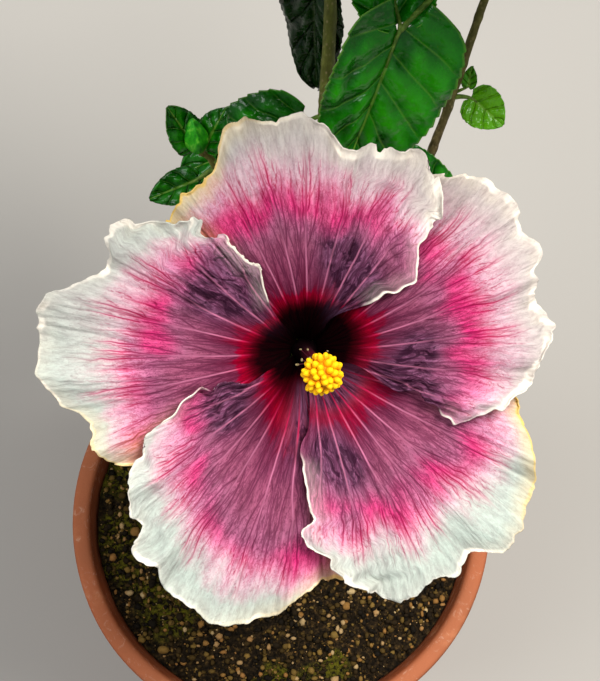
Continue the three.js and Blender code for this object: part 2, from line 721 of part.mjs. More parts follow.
function petalPoint(petal, across, along) {
  const length = through(petal.margin, (across + 1) / 2);
  const out = BLOOM.clawRadius + along * (length - BLOOM.clawRadius);
  const opening = smooth(out, BLOOM.clawRadius, 26);
  const drawnIn = through(petal.edge, (out - EDGE_FROM) / (EDGE_STEP * (petal.edge.length - 1)));
  const [clawHalf, openHalf] = across > 0 ? [24, PETAL_HALF_ANGLE - drawnIn] : [28, PETAL_HALF_ANGLE + 1];
  const offset = across * THREE.MathUtils.lerp(clawHalf, openHalf, opening);
  const step = 0.5;
  const slope = (funnelHeight(out + step) - funnelHeight(out - step)) / (2 * step);
  const steep = Math.hypot(1, slope);
  const overlap = THREE.MathUtils.lerp(BLOOM.overlapAtClaw, BLOOM.overlapAtMargin, smooth(out, 8, 70));
  const wave = Math.sin(Math.PI * petal.waves * across + petal.phase) * smooth(along, 0.5, 1);
  const lift = (overlap * offset) / 72 + BLOOM.ruffle * wave;
  const turn = radians(petal.heading - offset);
  const radial = out - (lift * slope) / steep;
  const height = funnelHeight(out) + lift / steep;
  return new THREE.Vector3(radial * Math.cos(turn), radial * Math.sin(turn), height);
}

function petalMesh(name) {
  const surface = (across, along) => petalPoint(PETALS[name], across, along);
  return meshOf(name, blade(surface, 12, 8, BLOOM.thickness), PETAL_PINK);
}

// Staminal column: a tapering tube of style and filaments, with short stamens on its upper half.
function column() {
  const curve = curveOf([[0, 0, CALYX.top + GAP], [0.5, 0.2, COLUMN.length / 2], [0, 0, COLUMN.length]]);
  const radius = (along) => THREE.MathUtils.lerp(COLUMN.baseRadius, COLUMN.tipRadius, along);
  const pieces = [limb(curve, radius, { sides: 10, steps: 6 })];
  for (let i = 0; i < COLUMN.stamens; i++) {
    const turn = i * GOLDEN_TURN;
    const height = THREE.MathUtils.lerp(COLUMN.stamenFrom, COLUMN.stamenTo, i / (COLUMN.stamens - 1));
    const reach = 6.6 - 1.6 * (i / COLUMN.stamens);
    const end = new THREE.Vector3(reach * Math.cos(turn), reach * Math.sin(turn), height + 3);
    const root = new THREE.Vector3(0, 0, height);
    const middle = new THREE.Vector3(end.x / 2, end.y / 2, height + 1);
    const thread = new THREE.CatmullRomCurve3([root, middle, end]);
    pieces.push(limb(thread, () => 0.4, { sides: 3, steps: 1 }));
    pieces.push(solidOf(new THREE.OctahedronGeometry(0.95).translate(end.x, end.y, end.z)));
  }
  return meshOf("staminal_column", Manifold.union(pieces), COLUMN_RED);
}

// The head of the column: a ball of rounded pollen-yellow beads.
function antherHead() {
  const pieces = [solidOf(new THREE.IcosahedronGeometry(HEAD.core, 1))];
  for (let i = 0; i < HEAD.beads; i++) {
    const height = 1 - (i / (HEAD.beads - 1)) * (1 - HEAD.lowest);
    const out = Math.sqrt(1 - height * height);
    const bead = new THREE.IcosahedronGeometry(HEAD.beadRadius).scale(1, 1, 1.15);
    const place = new THREE.Vector3(out * Math.cos(i * GOLDEN_TURN), out * Math.sin(i * GOLDEN_TURN), height);
    pieces.push(solidOf(bead.translate(...place.multiplyScalar(HEAD.core).toArray())));
  }
  const socketRadius = COLUMN.tipRadius + GAP;
  const socket = new THREE.CylinderGeometry(socketRadius, socketRadius, 20, 12).rotateX(Math.PI / 2);
  socket.translate(0, 0, COLUMN.length + GAP - HEAD.height - 10);
  const solid = Manifold.union(pieces).subtract(solidOf(socket));
  const mesh = meshOf("anther_head", solid, POLLEN_YELLOW);
  mesh.position.z = HEAD.height;
  return mesh;
}

// Calyx: a green cup under the petals with pointed lobes, and narrow bracts round its foot.
function calyx() {
  const { top, length, footRadius, rimRadius } = CALYX;
  const foot = top - length;
  const cup = [
    [0, foot], [footRadius, foot], [rimRadius * 0.8, top - length * 0.72],
    [rimRadius, top - length * 0.3], [rimRadius, top], [0, top],
  ];
  const pieces = [solidOf(lathe(cup, 12))];
  const addBlades = ({ count, length: reach, halfWidth, lean }, radius, height, columns) => {
    for (let i = 0; i < count; i++) {
      const turn = ((i + 0.3) / count) * 2 * Math.PI;
      const outward = new THREE.Vector3(Math.cos(turn), Math.sin(turn), 0);
      const sideways = new THREE.Vector3(-Math.sin(turn), Math.cos(turn), 0);
      const surface = (across, along) => {
        const curl = (0.25 * (across * halfWidth * (1 - along)) ** 2) / radius;
        const out = radius + lean * reach * along * Math.abs(along) ** 0.3 - curl;
        return outward.clone().multiplyScalar(out)
          .addScaledVector(sideways, across * halfWidth * (1 - 0.9 * along))
          .setZ(height + reach * along);
      };
      pieces.push(blade(surface, columns, 2, 0.9));
    }
  };
  addBlades(CALYX.lobes, rimRadius - 0.35, top - 3, 2);
  addBlades(CALYX.bracts, footRadius + 0.6, foot + 3, 1);
  return meshOf("calyx", Manifold.union(pieces), STALK_GREEN);
}

// Flower stalk: from the leafy stem's tip up to the foot of the calyx.
const axis = vec(BLOOM.axis).normalize();
function flowerStalk() {
  const tip = curves.flower.getPoint(1);
  const onward = curves.flower.getTangent(1);
  const foot = vec(BLOOM.base).addScaledVector(axis, CALYX.top - CALYX.length - GAP);
  const route = new THREE.CatmullRomCurve3([
    tip.clone().addScaledVector(onward, GAP),
    tip.clone().addScaledVector(onward, 14),
    foot.clone().addScaledVector(axis, -12),
    foot,
  ]);
  const radius = (along) => 1.55 + 0.7 * smooth(along, 0.8, 1);
  return meshOf("flower_stalk", limb(route, radius, { sides: 8, steps: 10 }), STALK_GREEN);
}

function bloom() {
  const flower = new THREE.Group();
  const right = new THREE.Vector3(1, 0, 0).addScaledVector(axis, -axis.x).normalize();
  const basis = new THREE.Matrix4().makeBasis(right, axis.clone().cross(right), axis);
  flower.position.set(...BLOOM.base);
  flower.quaternion.setFromRotationMatrix(basis);
  flower.add(...Object.keys(PETALS).map(petalMesh), column(), antherHead(), calyx());
  return flower;
}

const plant = new THREE.Group();
plant.add(pot(), pottingSoil(), trunk());
for (const name of ["back", "right", "flower", "left"]) plant.add(bough(name));
for (const name of Object.keys(SHOOTS)) plant.add(foliage(name));
plant.add(flowerStalk(), bloom());

export default plant;
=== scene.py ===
"""Looks of a potted hibiscus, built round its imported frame: the clay pot with its damp mix, the
forked stems, leaves that grow by the frame's own rule, and one large ruffled bloom.

Sizes are in millimetres unless a name says otherwise, and become metres when a mesh is made.
"""

import math

import bmesh
import bpy
import numpy as np
from bpy.props import FloatProperty, FloatVectorProperty, IntProperty, PointerProperty
from mathutils import Matrix, Vector


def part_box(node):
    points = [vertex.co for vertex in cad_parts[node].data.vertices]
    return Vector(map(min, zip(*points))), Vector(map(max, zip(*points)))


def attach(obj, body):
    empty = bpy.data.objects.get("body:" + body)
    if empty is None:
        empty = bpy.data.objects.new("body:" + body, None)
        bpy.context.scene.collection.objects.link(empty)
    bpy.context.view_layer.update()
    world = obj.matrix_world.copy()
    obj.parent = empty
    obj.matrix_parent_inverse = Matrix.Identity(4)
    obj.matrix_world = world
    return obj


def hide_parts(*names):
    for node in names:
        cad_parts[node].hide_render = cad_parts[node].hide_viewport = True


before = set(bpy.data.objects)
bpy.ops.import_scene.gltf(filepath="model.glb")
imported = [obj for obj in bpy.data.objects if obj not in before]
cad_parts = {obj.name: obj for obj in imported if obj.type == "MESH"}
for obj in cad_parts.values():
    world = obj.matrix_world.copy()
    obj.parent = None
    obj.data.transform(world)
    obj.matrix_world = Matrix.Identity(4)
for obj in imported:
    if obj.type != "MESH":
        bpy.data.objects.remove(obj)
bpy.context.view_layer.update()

bl_info = {
    "name": "Potted Hibiscus",
    "version": (1, 0, 0),
    "blender": (4, 5, 0),
    "location": "View3D > Sidebar > Hibiscus",
    "description": "Dresses the frame of a potted hibiscus with petals, leaves, bark, clay and soil",
    "category": "Object",
}

MM = 0.001
GOLDEN_TURN = math.radians(137.5)
POT_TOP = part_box("pot")[1]


# Plain mathematics
def paint(red, green, blue):
    """A colour as it is seen on a screen, 0 to 255, as the linear colour that a shader takes."""
    return tuple((part / 255 / 12.92 if part <= 10 else ((part / 255 + 0.055) / 1.055) ** 2.4)
                 for part in (red, green, blue))


def smooth(x, low, high):
    share = np.clip((np.asarray(x, float) - low) / (high - low), 0, 1)
    return share * share * (3 - 2 * share)


def lerp(low, high, share):
    return low + (high - low) * share


def unit(vectors):
    vectors = np.asarray(vectors, float)
    return vectors / np.linalg.norm(vectors, axis=-1, keepdims=True)


def draws_from(seed):
    """The frame source's own random draws, from 0 to 1."""
    state = seed
    while True:
        state = (state * 1664525 + 1013904223) % 4294967296
        yield state / 4294967296


def noise(*coordinates, seed=0):
    """Smooth noise from -1 to 1 over one, two or three coordinates, with cells of size 1."""
    shape = np.broadcast(*coordinates).shape
    points = [np.broadcast_to(np.asarray(c, float), shape) for c in coordinates]
    cells = [np.floor(c).astype(np.int64) for c in points]
    shares = [(c - cell) ** 2 * (3 - 2 * (c - cell)) for c, cell in zip(points, cells)]
    total = np.zeros(shape)
    for corner in np.ndindex(*[2] * len(points)):
        mixed = np.full(shape, 374761393 * (seed + 1), np.int64)
        weight = np.ones(shape)
        for cell, share, more, prime in zip(cells, shares, corner, (73856093, 19349663, 83492791)):
            mixed ^= (cell + more) * prime
            weight = weight * (share if more else 1 - share)
        mixed = ((mixed ^ (mixed >> 13)) * 1274126177) & 0xFFFFFFFF
        total += weight * (((mixed ^ (mixed >> 16)) & 0xFFFF) / 32767.5 - 1)
    return total


class Route:
    """A smooth open curve through points. An even one takes no heed of how far apart they are."""

    def __init__(self, points, even=False):
        self.points = np.asarray(points, float)
        self.even = even

    def at(self, along):
        points = self.points
        last = len(points) - 1
        padded = np.vstack([2 * points[0] - points[1], points, 2 * points[-1] - points[-2]])
        place = np.asarray(along, float) * last
        i = np.minimum(np.floor(place).astype(int), last - 1)
        t = (place - i)[..., None]
        a, b, c, d = (padded[i + k] for k in range(4))
        if self.even:
            start, end = (c - a) / 2, (d - b) / 2
        else:
            first, middle, third = (
                ((q - p) ** 2).sum(-1)[..., None] ** 0.25 for p, q in ((a, b), (b, c), (c, d)))
            start = ((b - a) / first - (c - a) / (first + middle) + (c - b) / middle) * middle
            end = ((c - b) / middle - (d - b) / (middle + third) + (d - c) / third) * middle
        squared, cubed = 3 * c - 3 * b - 2 * start - end, 2 * b - 2 * c + start + end
        return b + start * t + squared * t**2 + cubed * t**3

    def tangent(self, along):
        along = np.asarray(along, float)
        return unit(self.at(np.minimum(along + 1e-4, 1)) - self.at(np.maximum(along - 1e-4, 0)))

    def across(self, along):
        """The tangent at a share of the route, and the rule's two directions across it."""
        tangent = self.tangent(along)
        side = np.array([0.0, 1, 0]) if abs(tangent[0]) > 0.9 else np.array([1.0, 0, 0])
        side = unit(side - side.dot(tangent) * tangent)
        return tangent, side, np.cross(side, tangent)

    def length(self):
        points = self.at(np.linspace(0, 1, 60))
        return np.linalg.norm(np.diff(points, axis=0), axis=1).sum()


def through(values, x):
    """A smooth value at each x, from 0 to 1, through evenly spaced values."""
    return Route(np.reshape(values, (-1, 1)), even=True).at(np.clip(x, 0, 1))[..., 0]


# Meshes
def mesh_from(bm, name):
    mesh = bpy.data.meshes.new(name)
    bm.to_mesh(mesh)
    bm.free()
    return mesh


def points_of(mesh):
    points = np.empty(len(mesh.vertices) * 3)
    mesh.vertices.foreach_get("co", points)
    return points.reshape(-1, 3)


def set_points(mesh, points):
    """Gives a mesh its places, from millimetres."""
    mesh.vertices.foreach_set("co", (np.asarray(points) * MM).astype(np.float32).ravel())
    mesh.update()


def store(mesh, name, values):
    """Keeps a value at each point of a mesh, for its material."""
    layer = mesh.attributes.new(name, "FLOAT", "POINT")
    layer.data.foreach_set("value", np.asarray(values, np.float32).ravel())


def add_piece(name, mesh, slot, replaced, *materials):
    """Puts a finished mesh in the scene as a piece that rides on the frame."""
    mesh.shade_smooth()
    for material in materials:
        mesh.materials.append(material)
    piece = bpy.data.objects.new(name, mesh)
    bpy.context.scene.collection.objects.link(piece)
    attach(piece, "root")
    if replaced:
        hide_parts(*replaced)
    return piece


def give_thickness(piece, thickness, back_material=False):
    """Thickness in millimetres, grown from the face that looks up."""
    shell = piece.modifiers.new("thickness", "SOLIDIFY")
    shell.thickness = thickness * MM
    shell.offset = -1
    shell.material_offset = 1 if back_material else 0
    return piece


def flat_grid(name, columns, rows):
    """A grid of faces, with the column and the row of each of its points."""
    bm = bmesh.new()
    bm.loops.layers.uv.new("UVMap")
    bmesh.ops.create_grid(bm, x_segments=columns, y_segments=rows, size=0.5, calc_uvs=True)
    mesh = mesh_from(bm, name)
    column, row = np.rint((points_of(mesh)[:, :2] + 0.5) * (columns, rows)).astype(int).T
    return mesh, column, row


class Shape:
    """A small bmesh shape kept as arrays, so that many bent copies of it can be gathered."""

    def __init__(self, bm):
        bm.verts.index_update()
        self.points = np.array([v.co for v in bm.verts], float)
        self.corners = np.array([v.index for f in bm.faces for v in f.verts])
        self.sizes = np.array([len(f.verts) for f in bm.faces])
        bm.free()


def grid_shape(columns, rows):
    bm = bmesh.new()
    bmesh.ops.create_grid(bm, x_segments=columns, y_segments=rows, size=0.5)
    return Shape(bm)


def tube_shape(sides, steps):
    """A closed unit cylinder along Z, from -0.5 to 0.5, with rings at even steps."""
    bm = bmesh.new()
    bmesh.ops.create_cone(bm, cap_ends=True, segments=sides, radius1=1, radius2=1, depth=1)
    long_edges = [e for e in bm.edges if abs(e.verts[0].co.z - e.verts[1].co.z) > 0.5]
    if steps > 1:
        bmesh.ops.subdivide_edges(bm, edges=long_edges, cuts=steps - 1, use_grid_fill=True)
    return Shape(bm)


def ball_shape(subdivisions):
    bm = bmesh.new()
    bmesh.ops.create_icosphere(bm, subdivisions=subdivisions, radius=1)
    return Shape(bm)


class Gathering:
    """Bent copies of shapes, joined into one mesh, with their values for the material."""

    def __init__(self, *value_names):
        self.points = []
        self.corners = []
        self.sizes = []
        self.values = {name: [] for name in value_names}
        self.count = 0

    def add(self, shape, points, **values):
        self.points.append(points)
        self.corners.append(shape.corners + self.count)
        self.sizes.append(shape.sizes)
        self.count += len(points)
        for name, value in values.items():
            self.values[name].append(np.broadcast_to(np.asarray(value, float), len(points)))

    def add_tube(self, shape, route, radius_at, place=None, **values):
        """A tube shape bent along a route, then put in its place."""
        points = bend_tube(shape, route, radius_at)[0]
        self.add(shape, place(points) if place else points, **values)

    def add_piece(self, name, slot, replaced, *materials):
        return add_piece(name, self.mesh(name), slot, replaced, *materials)

    def mesh(self, name):
        mesh = bpy.data.meshes.new(name)
        sizes = np.concatenate(self.sizes)
        corners = np.concatenate(self.corners)
        mesh.vertices.add(self.count)
        mesh.loops.add(len(corners))
        mesh.polygons.add(len(sizes))
        mesh.loops.foreach_set("vertex_index", corners.astype(np.int32))
        starts = np.concatenate([[0], np.cumsum(sizes)[:-1]])
        mesh.polygons.foreach_set("loop_start", starts.astype(np.int32))
        set_points(mesh, np.concatenate(self.points))
        mesh.update(calc_edges=True)
        for key, parts in self.values.items():
            store(mesh, key, np.concatenate(parts))
        return mesh


def bend_tube(shape, route, radius_at, start=0.0, end=1.0, relief=None):
    """A tube shape laid along a route, turned from ring to ring with no twist."""
    along = np.clip(shape.points[:, 2] + 0.5, 0, 1)
    steps = np.unique(np.round(along, 6))
    place = start + (end - start) * steps
    centre, tangent = route.at(place), route.tangent(place)
    side = np.empty_like(centre)
    side[0] = route.across(place[0])[1]
    for i in range(1, len(steps)):
        turned = side[i - 1] - side[i - 1].dot(tangent[i]) * tangent[i]
        side[i] = turned / np.linalg.norm(turned)
    other = np.cross(side, tangent)
    ring = np.searchsorted(steps, np.round(along, 6))
    radius = radius_at(place[ring])
    if relief is not None:
        radius = radius + relief(place[ring], np.arctan2(shape.points[:, 1], shape.points[:, 0]))
    x, y = shape.points[:, :1] * radius[:, None], shape.points[:, 1:2] * radius[:, None]
    return centre[ring] + x * side[ring] - y * other[ring], place[ring]


# Materials
class Finish:
    """A node material, put together with short calls. A source is a socket or a plain value."""

    def __init__(self, name, **values):
        self.material = bpy.data.materials.new(name)
        self.material.use_nodes = True
        self.nodes = self.material.node_tree.nodes
        self.shader = self.nodes["Principled BSDF"]
        for key, value in values.items():
            self.shader.inputs[key.replace("_", " ").title().replace("Ior", "IOR")].default_value = value

    def node(self, kind, **settings):
        node = self.nodes.new("ShaderNode" + kind)
        for key, value in settings.items():
            setattr(node, key, value)
        return node

    def feed(self, socket, source):
        if isinstance(source, bpy.types.NodeSocket):
            self.material.node_tree.links.new(source, socket)
        elif socket.type == "RGBA":
            socket.default_value = (*source, 1)
        else:
            socket.default_value = source

    def value(self, name):
        return self.node("Attribute", attribute_name=name).outputs["Fac"]

    def vein(self, rank, width):
        """A crisp line where the rank's phase passes a whole number."""
        off = self.maths("PINGPONG", self.value(f"phase_{rank}"), 0.5)
        away = self.times(off, self.value(f"gap_{rank}"))
        drawn = self.between(away, width * 0.25, width, 1, 0)
        return self.times(drawn, self.value(f"alive_{rank}"))

    def place(self, stretch=(1, 1, 1), kind="Object"):
        """Object coordinates in metres, or the piece's own UV map, stretched."""
        coordinates = self.node("TexCoord").outputs[kind]
        mapping = self.node("Mapping")
        self.feed(mapping.inputs["Vector"], coordinates)
        mapping.inputs["Scale"].default_value = stretch
        return mapping.outputs["Vector"]

    def grain(self, place, scale, detail=4.0, rough=0.55, warp=0.0):
        node = self.node("TexNoise")
        self.feed(node.inputs["Vector"], place)
        for key, value in {"Scale": scale, "Detail": detail, "Roughness": rough, "Distortion": warp}.items():
            node.inputs[key].default_value = value
        return node.outputs["Fac"]

    def cells(self, place, scale, feature="F1"):
        node = self.node("TexVoronoi", feature=feature)
        self.feed(node.inputs["Vector"], place)
        node.inputs["Scale"].default_value = scale
        return node.outputs["Distance"]

    def times(self, first, second, clamp=False):
        return self.maths("MULTIPLY", first, second, clamp=clamp)

    def most(self, first, *others):
        """The largest of some sources."""
        for other in others:
            first = self.maths("MAXIMUM", first, other)
        return first

    def maths(self, operation, first, second=0.0, third=0.0, clamp=False):
        node = self.node("Math", operation=operation, use_clamp=clamp)
        for socket, source in zip(node.inputs, (first, second, third)):
            self.feed(socket, source)
        return node.outputs[0]

    def between(self, source, low, high, new_low=0.0, new_high=1.0):
        node = self.node("MapRange")
        for key, value in {"Value": source, "From Min": low, "From Max": high,
                           "To Min": new_low, "To Max": new_high}.items():
            self.feed(node.inputs[key], value)
        return node.outputs["Result"]

    def ramp(self, source, *stops):
        node = self.node("ValToRGB")
        self.feed(node.inputs["Fac"], source)
        marks = node.color_ramp.elements
        while len(marks) < len(stops):
            marks.new(1.0)
        for mark, (position, colour) in zip(marks, stops):
            mark.position = position
            mark.color = (*colour, 1)
        return node.outputs["Color"]

    def mix(self, share, first, second, blend="MIX"):
        node = self.node("Mix", data_type="RGBA", blend_type=blend)
        self.feed(node.inputs["Factor"], share)
        self.feed(node.inputs[6], first)
        self.feed(node.inputs[7], second)
        return node.outputs[2]

    def colour(self, source):
        self.feed(self.shader.inputs["Base Color"], source)

    def roughness(self, source):
        self.feed(self.shader.inputs["Roughness"], source)

    def bump(self, height, depth, strength=1.0):
        """Relief of a depth in millimetres, on top of any relief that is there."""
        node = self.node("Bump")
        self.feed(node.inputs["Height"], height)
        node.inputs["Distance"].default_value = depth * MM
        node.inputs["Strength"].default_value = strength
        socket = self.shader.inputs["Normal"]
        if socket.is_linked:
            self.feed(node.inputs["Normal"], socket.links[0].from_socket)
        self.feed(socket, node.outputs["Normal"])


# What a user would change
def colour_property(name, description, colour):
    return FloatVectorProperty(name=name, description=description, subtype="COLOR", size=3,
                               min=0, max=1, default=paint(*colour))


class PotSettings(bpy.types.PropertyGroup):
    rim_radius: FloatProperty(name="Rim radius", description="Outer radius of the pot's rim",
                              unit="LENGTH", default=POT_TOP.x)
    height: FloatProperty(name="Height", description="Height of the pot", unit="LENGTH", default=POT_TOP.z)
    clay: colour_property("Clay", "Colour of the fired clay in the light", (156, 76, 40))
    clay_dark: colour_property("Damp clay", "Colour of the clay where it is damp or worn", (108, 56, 30))
    mix: colour_property("Potting mix", "Colour of the damp potting mix", (38, 28, 14))
    moss: colour_property("Moss", "Colour of the moss on the potting mix", (92, 88, 14))
    grains: IntProperty(name="Grains", description="How many crumbs and grit lie on the mix", default=9000)


class StemSettings(bpy.types.PropertyGroup):
    bark: colour_property("Bark", "Colour of the old bark", (112, 92, 58))
    young: colour_property("Young stem", "Colour of the leafy stems", (104, 108, 42))
    relief: FloatProperty(name="Bark relief", description="Depth of the cracks in the bark",
                          unit="LENGTH", default=0.35 * MM)


class LeafSettings(bpy.types.PropertyGroup):
    # Deep green is drawn in the hollows between the side veins and bright green on the bulges: painted shade
    # and painted light.
    deep: colour_property("Deep green", "Colour of a leaf between its veins", (6, 108, 0))
    bright: colour_property("Bright green", "Colour of a leaf where it bulges", (40, 158, 4))
    vein: colour_property("Vein", "Colour of the leaf veins", (128, 186, 60))
    under: colour_property("Underside", "Colour of a leaf's underside", (88, 128, 62))
    thickness: FloatProperty(name="Thickness", description="Thickness of a leaf",
                             unit="LENGTH", default=0.4 * MM)


class BloomSettings(bpy.types.PropertyGroup):
    throat: colour_property("Throat", "Colour of the throat", (10, 0, 2))
    crimson: colour_property("Crimson", "Colour round the throat", (164, 0, 38))
    plum: colour_property("Plum", "Colour of the inner half of a petal", (174, 94, 124))
    pink: colour_property("Hot pink", "Colour of the feathered band", (242, 40, 126))
    pale: colour_property("Pale pink", "Colour of the outer part", (230, 206, 206))
    ivory: colour_property("Ivory", "Colour of the margin", (242, 232, 216))
    ochre: colour_property("Ochre", "Colour of the aged edge", (230, 190, 82))
    pollen: colour_property("Pollen", "Colour of the column's head", (255, 196, 4))
    thickness: FloatProperty(name="Thickness", description="Thickness of a petal",
                             unit="LENGTH", default=0.45 * MM)


class StageSettings(bpy.types.PropertyGroup):
    floor: colour_property("Floor", "Colour of the studio floor", (178, 174, 166))
    key_power: FloatProperty(name="Key light", description="Power of the large soft light",
                             unit="POWER", default=34.0)
    sky_strength: FloatProperty(name="Fill light", description="Strength of the even light all round",
                                default=0.4)


# Pot
POT = {
    "foot_radius": 74, "collar_height": 34, "collar_step": 5.5, "collar_lead": 1.5, "rounding": 3.4,
    "wall": 9.5, "floor": 12, "drain_holes": 3, "drain_radius": 6, "drain_circle": 38, "drain_cut": 60,
    "unevenness": 0.35, "kept_in": 0.4, "sides": 144,
}
SOIL_DROP = 14


def inner_radius(height, rim_radius, pot_height):
    """Radius of the pot's inside at a height."""
    at_floor = POT["foot_radius"] - POT["wall"] + 1
    share = (height - POT["floor"]) / (pot_height - POT["floor"])
    return lerp(at_floor, rim_radius - POT["wall"], share)


def turned_profile(name, profile, sides):
    """A round mesh from points of radius and height, in millimetres, closed on the axis."""
    bm = bmesh.new()
    ring = [bm.verts.new((radius, 0, height)) for radius, height in profile]
    edges = [bm.edges.new(pair) for pair in zip(ring, ring[1:])]
    bmesh.ops.spin(bm, geom=ring + edges, cent=(0, 0, 0), axis=(0, 0, 1), angle=2 * math.pi,
                   steps=sides, use_merge=True)
    bmesh.ops.remove_doubles(bm, verts=bm.verts, dist=1e-4)
    bmesh.ops.recalc_face_normals(bm, faces=bm.faces)
    return mesh_from(bm, name)


def rounded(corners, radius, steps=5):
    """A profile whose inner corners are rounded, and whose long runs have points between."""
    points = [np.array(corners[0], float)]
    for before, corner, after in zip(corners, corners[1:], corners[2:]):
        corner = np.array(corner, float)
        inward, outward = np.array(before, float) - corner, np.array(after, float) - corner
        reach = min(radius, np.linalg.norm(inward) * 0.45, np.linalg.norm(outward) * 0.45)
        first, last = corner + unit(inward) * reach, corner + unit(outward) * reach
        for t in np.linspace(0, 1, steps):
            points.append((1 - t) ** 2 * first + 2 * t * (1 - t) * corner + t**2 * last)
    points.append(np.array(corners[-1], float))
    filled = [points[0]]
    for point in points[1:]:
        parts = max(1, int(np.linalg.norm(point - filled[-1]) / 6))
        start = filled[-1]
        filled += [lerp(start, point, k / parts) for k in range(1, parts + 1)]
    return filled


def clay_finish(settings):
    clay = Finish("fired_clay", roughness=0.82, specular_ior_level=0.15)
    place = clay.place()
    broad = clay.grain(place, 14, detail=3)
    mottled = clay.ramp(broad, (0.32, settings.clay_dark), (0.62, settings.clay))
    bands = clay.grain(clay.place((4, 4, 260)), 1, detail=2)
    lighter = clay.mix(clay.between(bands, 0.35, 0.75, 0, 0.3), mottled, paint(190, 104, 60))
    bloom = clay.between(clay.grain(place, 55, detail=6, rough=0.7), 0.56, 0.72, 0, 0.5)
    chalky = clay.mix(bloom, lighter, paint(200, 132, 88))
    specks = clay.between(clay.cells(place, 420), 0.0, 0.22, 0.75, 0)
    spotted = clay.mix(specks, chalky, paint(120, 66, 42))
    # Painted highlight: the rim's lip and the foot of the collar are drawn lighter, as where light catches
    # their edges.
    edge = clay.between(clay.value("edge"), 0.2, 1, 0, 0.5)
    lip_highlighted = clay.mix(edge, spotted, paint(196, 122, 86))
    scraped = clay.grain(clay.place((140, 140, 500)), 1, detail=7, rough=0.75, warp=1.5)
    scuffs = clay.between(scraped, 0.56, 0.66, 0, 0.55)
    clay.colour(clay.mix(scuffs, lip_highlighted, paint(204, 158, 132)))
    clay.bump(clay.grain(place, 700, detail=5, rough=0.7), 0.25)
    clay.bump(bands, 0.3)
    return clay.material


def build_pot(settings):
    rim, height = settings.rim_radius / MM, settings.height / MM
    collar_foot = height - POT["collar_height"]
    body_top = rim - POT["collar_step"] - 2
    corners = [
        (0, 0), (POT["foot_radius"], 0), (body_top, collar_foot),
        (rim - 0.5, collar_foot + POT["collar_lead"]),
        (rim, height), (rim - POT["wall"] + 0.6, height - 0.5),
        (inner_radius(POT["floor"], rim, height), POT["floor"]), (0, POT["floor"]),
    ]
    mesh = turned_profile("pot_clay", rounded(corners, POT["rounding"]), POT["sides"])
    cutters = bmesh.new()
    for i in range(POT["drain_holes"]):
        turn = 2 * math.pi * i / POT["drain_holes"]
        centre = (POT["drain_circle"] * math.cos(turn), POT["drain_circle"] * math.sin(turn), 0)
        bmesh.ops.create_cone(cutters, cap_ends=True, segments=40, radius1=POT["drain_radius"],
                              radius2=POT["drain_radius"], depth=POT["drain_cut"],
                              matrix=Matrix.Translation(centre))
    mesh = cut_away(mesh, mesh_from(cutters, "drain_holes"))
    points = points_of(mesh)
    turn = np.arctan2(points[:, 1], points[:, 0])
    out = np.hypot(points[:, 0], points[:, 1])
    swell = noise(3 * np.cos(turn), 3 * np.sin(turn), points[:, 2] / 40, seed=3)
    ridge = noise(0.4 * turn, points[:, 2] / 3.2, seed=5) * 0.25
    waver = POT["unevenness"] * (swell + ridge) * smooth(points[:, 2], 2, 20) - POT["kept_in"]
    share = 1 + np.where(out > 60, waver / np.maximum(out, 1), 0)
    points[:, 0] *= share
    points[:, 1] *= share
    # The lip and the collar's foot are marked for the painted highlight in the clay's material.
    lip = np.exp(-((points[:, 2] - height) / 2.2) ** 2)
    above_collar = points[:, 2] - collar_foot - POT["collar_lead"]
    foot_of_collar = np.exp(-(above_collar / 1.6) ** 2) * (out > rim - 4)
    set_points(mesh, points)
    store(mesh, "edge", np.maximum(lip, foot_of_collar))
    add_piece("pot_clay", mesh, "clay", ["pot"], clay_finish(settings))


def cut_away(mesh, cutter):
    """The mesh with the cutter's space taken out of it."""
    whole, tool = (bpy.data.objects.new(part.name, part) for part in (mesh, cutter))
    for part in (whole, tool):
        bpy.context.scene.collection.objects.link(part)
    cut = whole.modifiers.new("cut", "BOOLEAN")
    cut.object, cut.operation, cut.solver = tool, "DIFFERENCE", "EXACT"
    shaped = whole.evaluated_get(bpy.context.evaluated_depsgraph_get())
    result = bpy.data.meshes.new_from_object(shaped)
    for part in (whole, tool):
        bpy.data.objects.remove(part)
    result.name = mesh.name
    return result


# Potting mix
TRUNK_FOOT = (4.4, -6.6)
SOIL = {"rings": 110, "sides": 300, "kept_in": 0.4}
CRUMBS = {"size": (0.4, 1.6), "squash": (0.6, 1.25), "lumps": 0.25, "tone": 0.92, "off_trunk": 11}
PEBBLES = {"count": 60, "size": (0.9, 1.7), "squash": (0.75, 1.2), "wear": 0.12, "tone": (0.55, 1)}
TUFTS = {"count": 9000, "height": (0.7, 1.9), "radius": 0.28, "lean": 0.45, "off_trunk": 12}
MOSS_PATCHES = ((-84, -12, 24), (-60, -48, 22), (2, -88, 18), (-88, 30, 18), (60, 62, 20), (30, -76, 10))


def soil_height(x, y):
    """The height of the mix's uneven surface, level where the trunk stands."""
    loose = smooth(np.hypot(x, y), 14, 34)
    clods = noise(x / 16, y / 16, seed=21) * 1.5 + noise(x / 6.5, y / 6.5, seed=22) * 1.3
    crumbs = noise(x / 2.6, y / 2.6, seed=23) * 0.9 + noise(x / 1.3, y / 1.3, seed=24) * 0.4
    return loose * (clods + 0.6) + (0.3 + 0.7 * loose) * crumbs


def moss_cover(x, y):
    """Where moss grows on the mix, from 0 to 1."""
    near = sum(np.exp(-((x - patch_x) ** 2 + (y - patch_y) ** 2) / (2 * (0.62 * size) ** 2))
               for patch_x, patch_y, size in MOSS_PATCHES)
    return smooth(near + 0.35 * noise(x / 7, y / 7, seed=31), 0.35, 0.85)


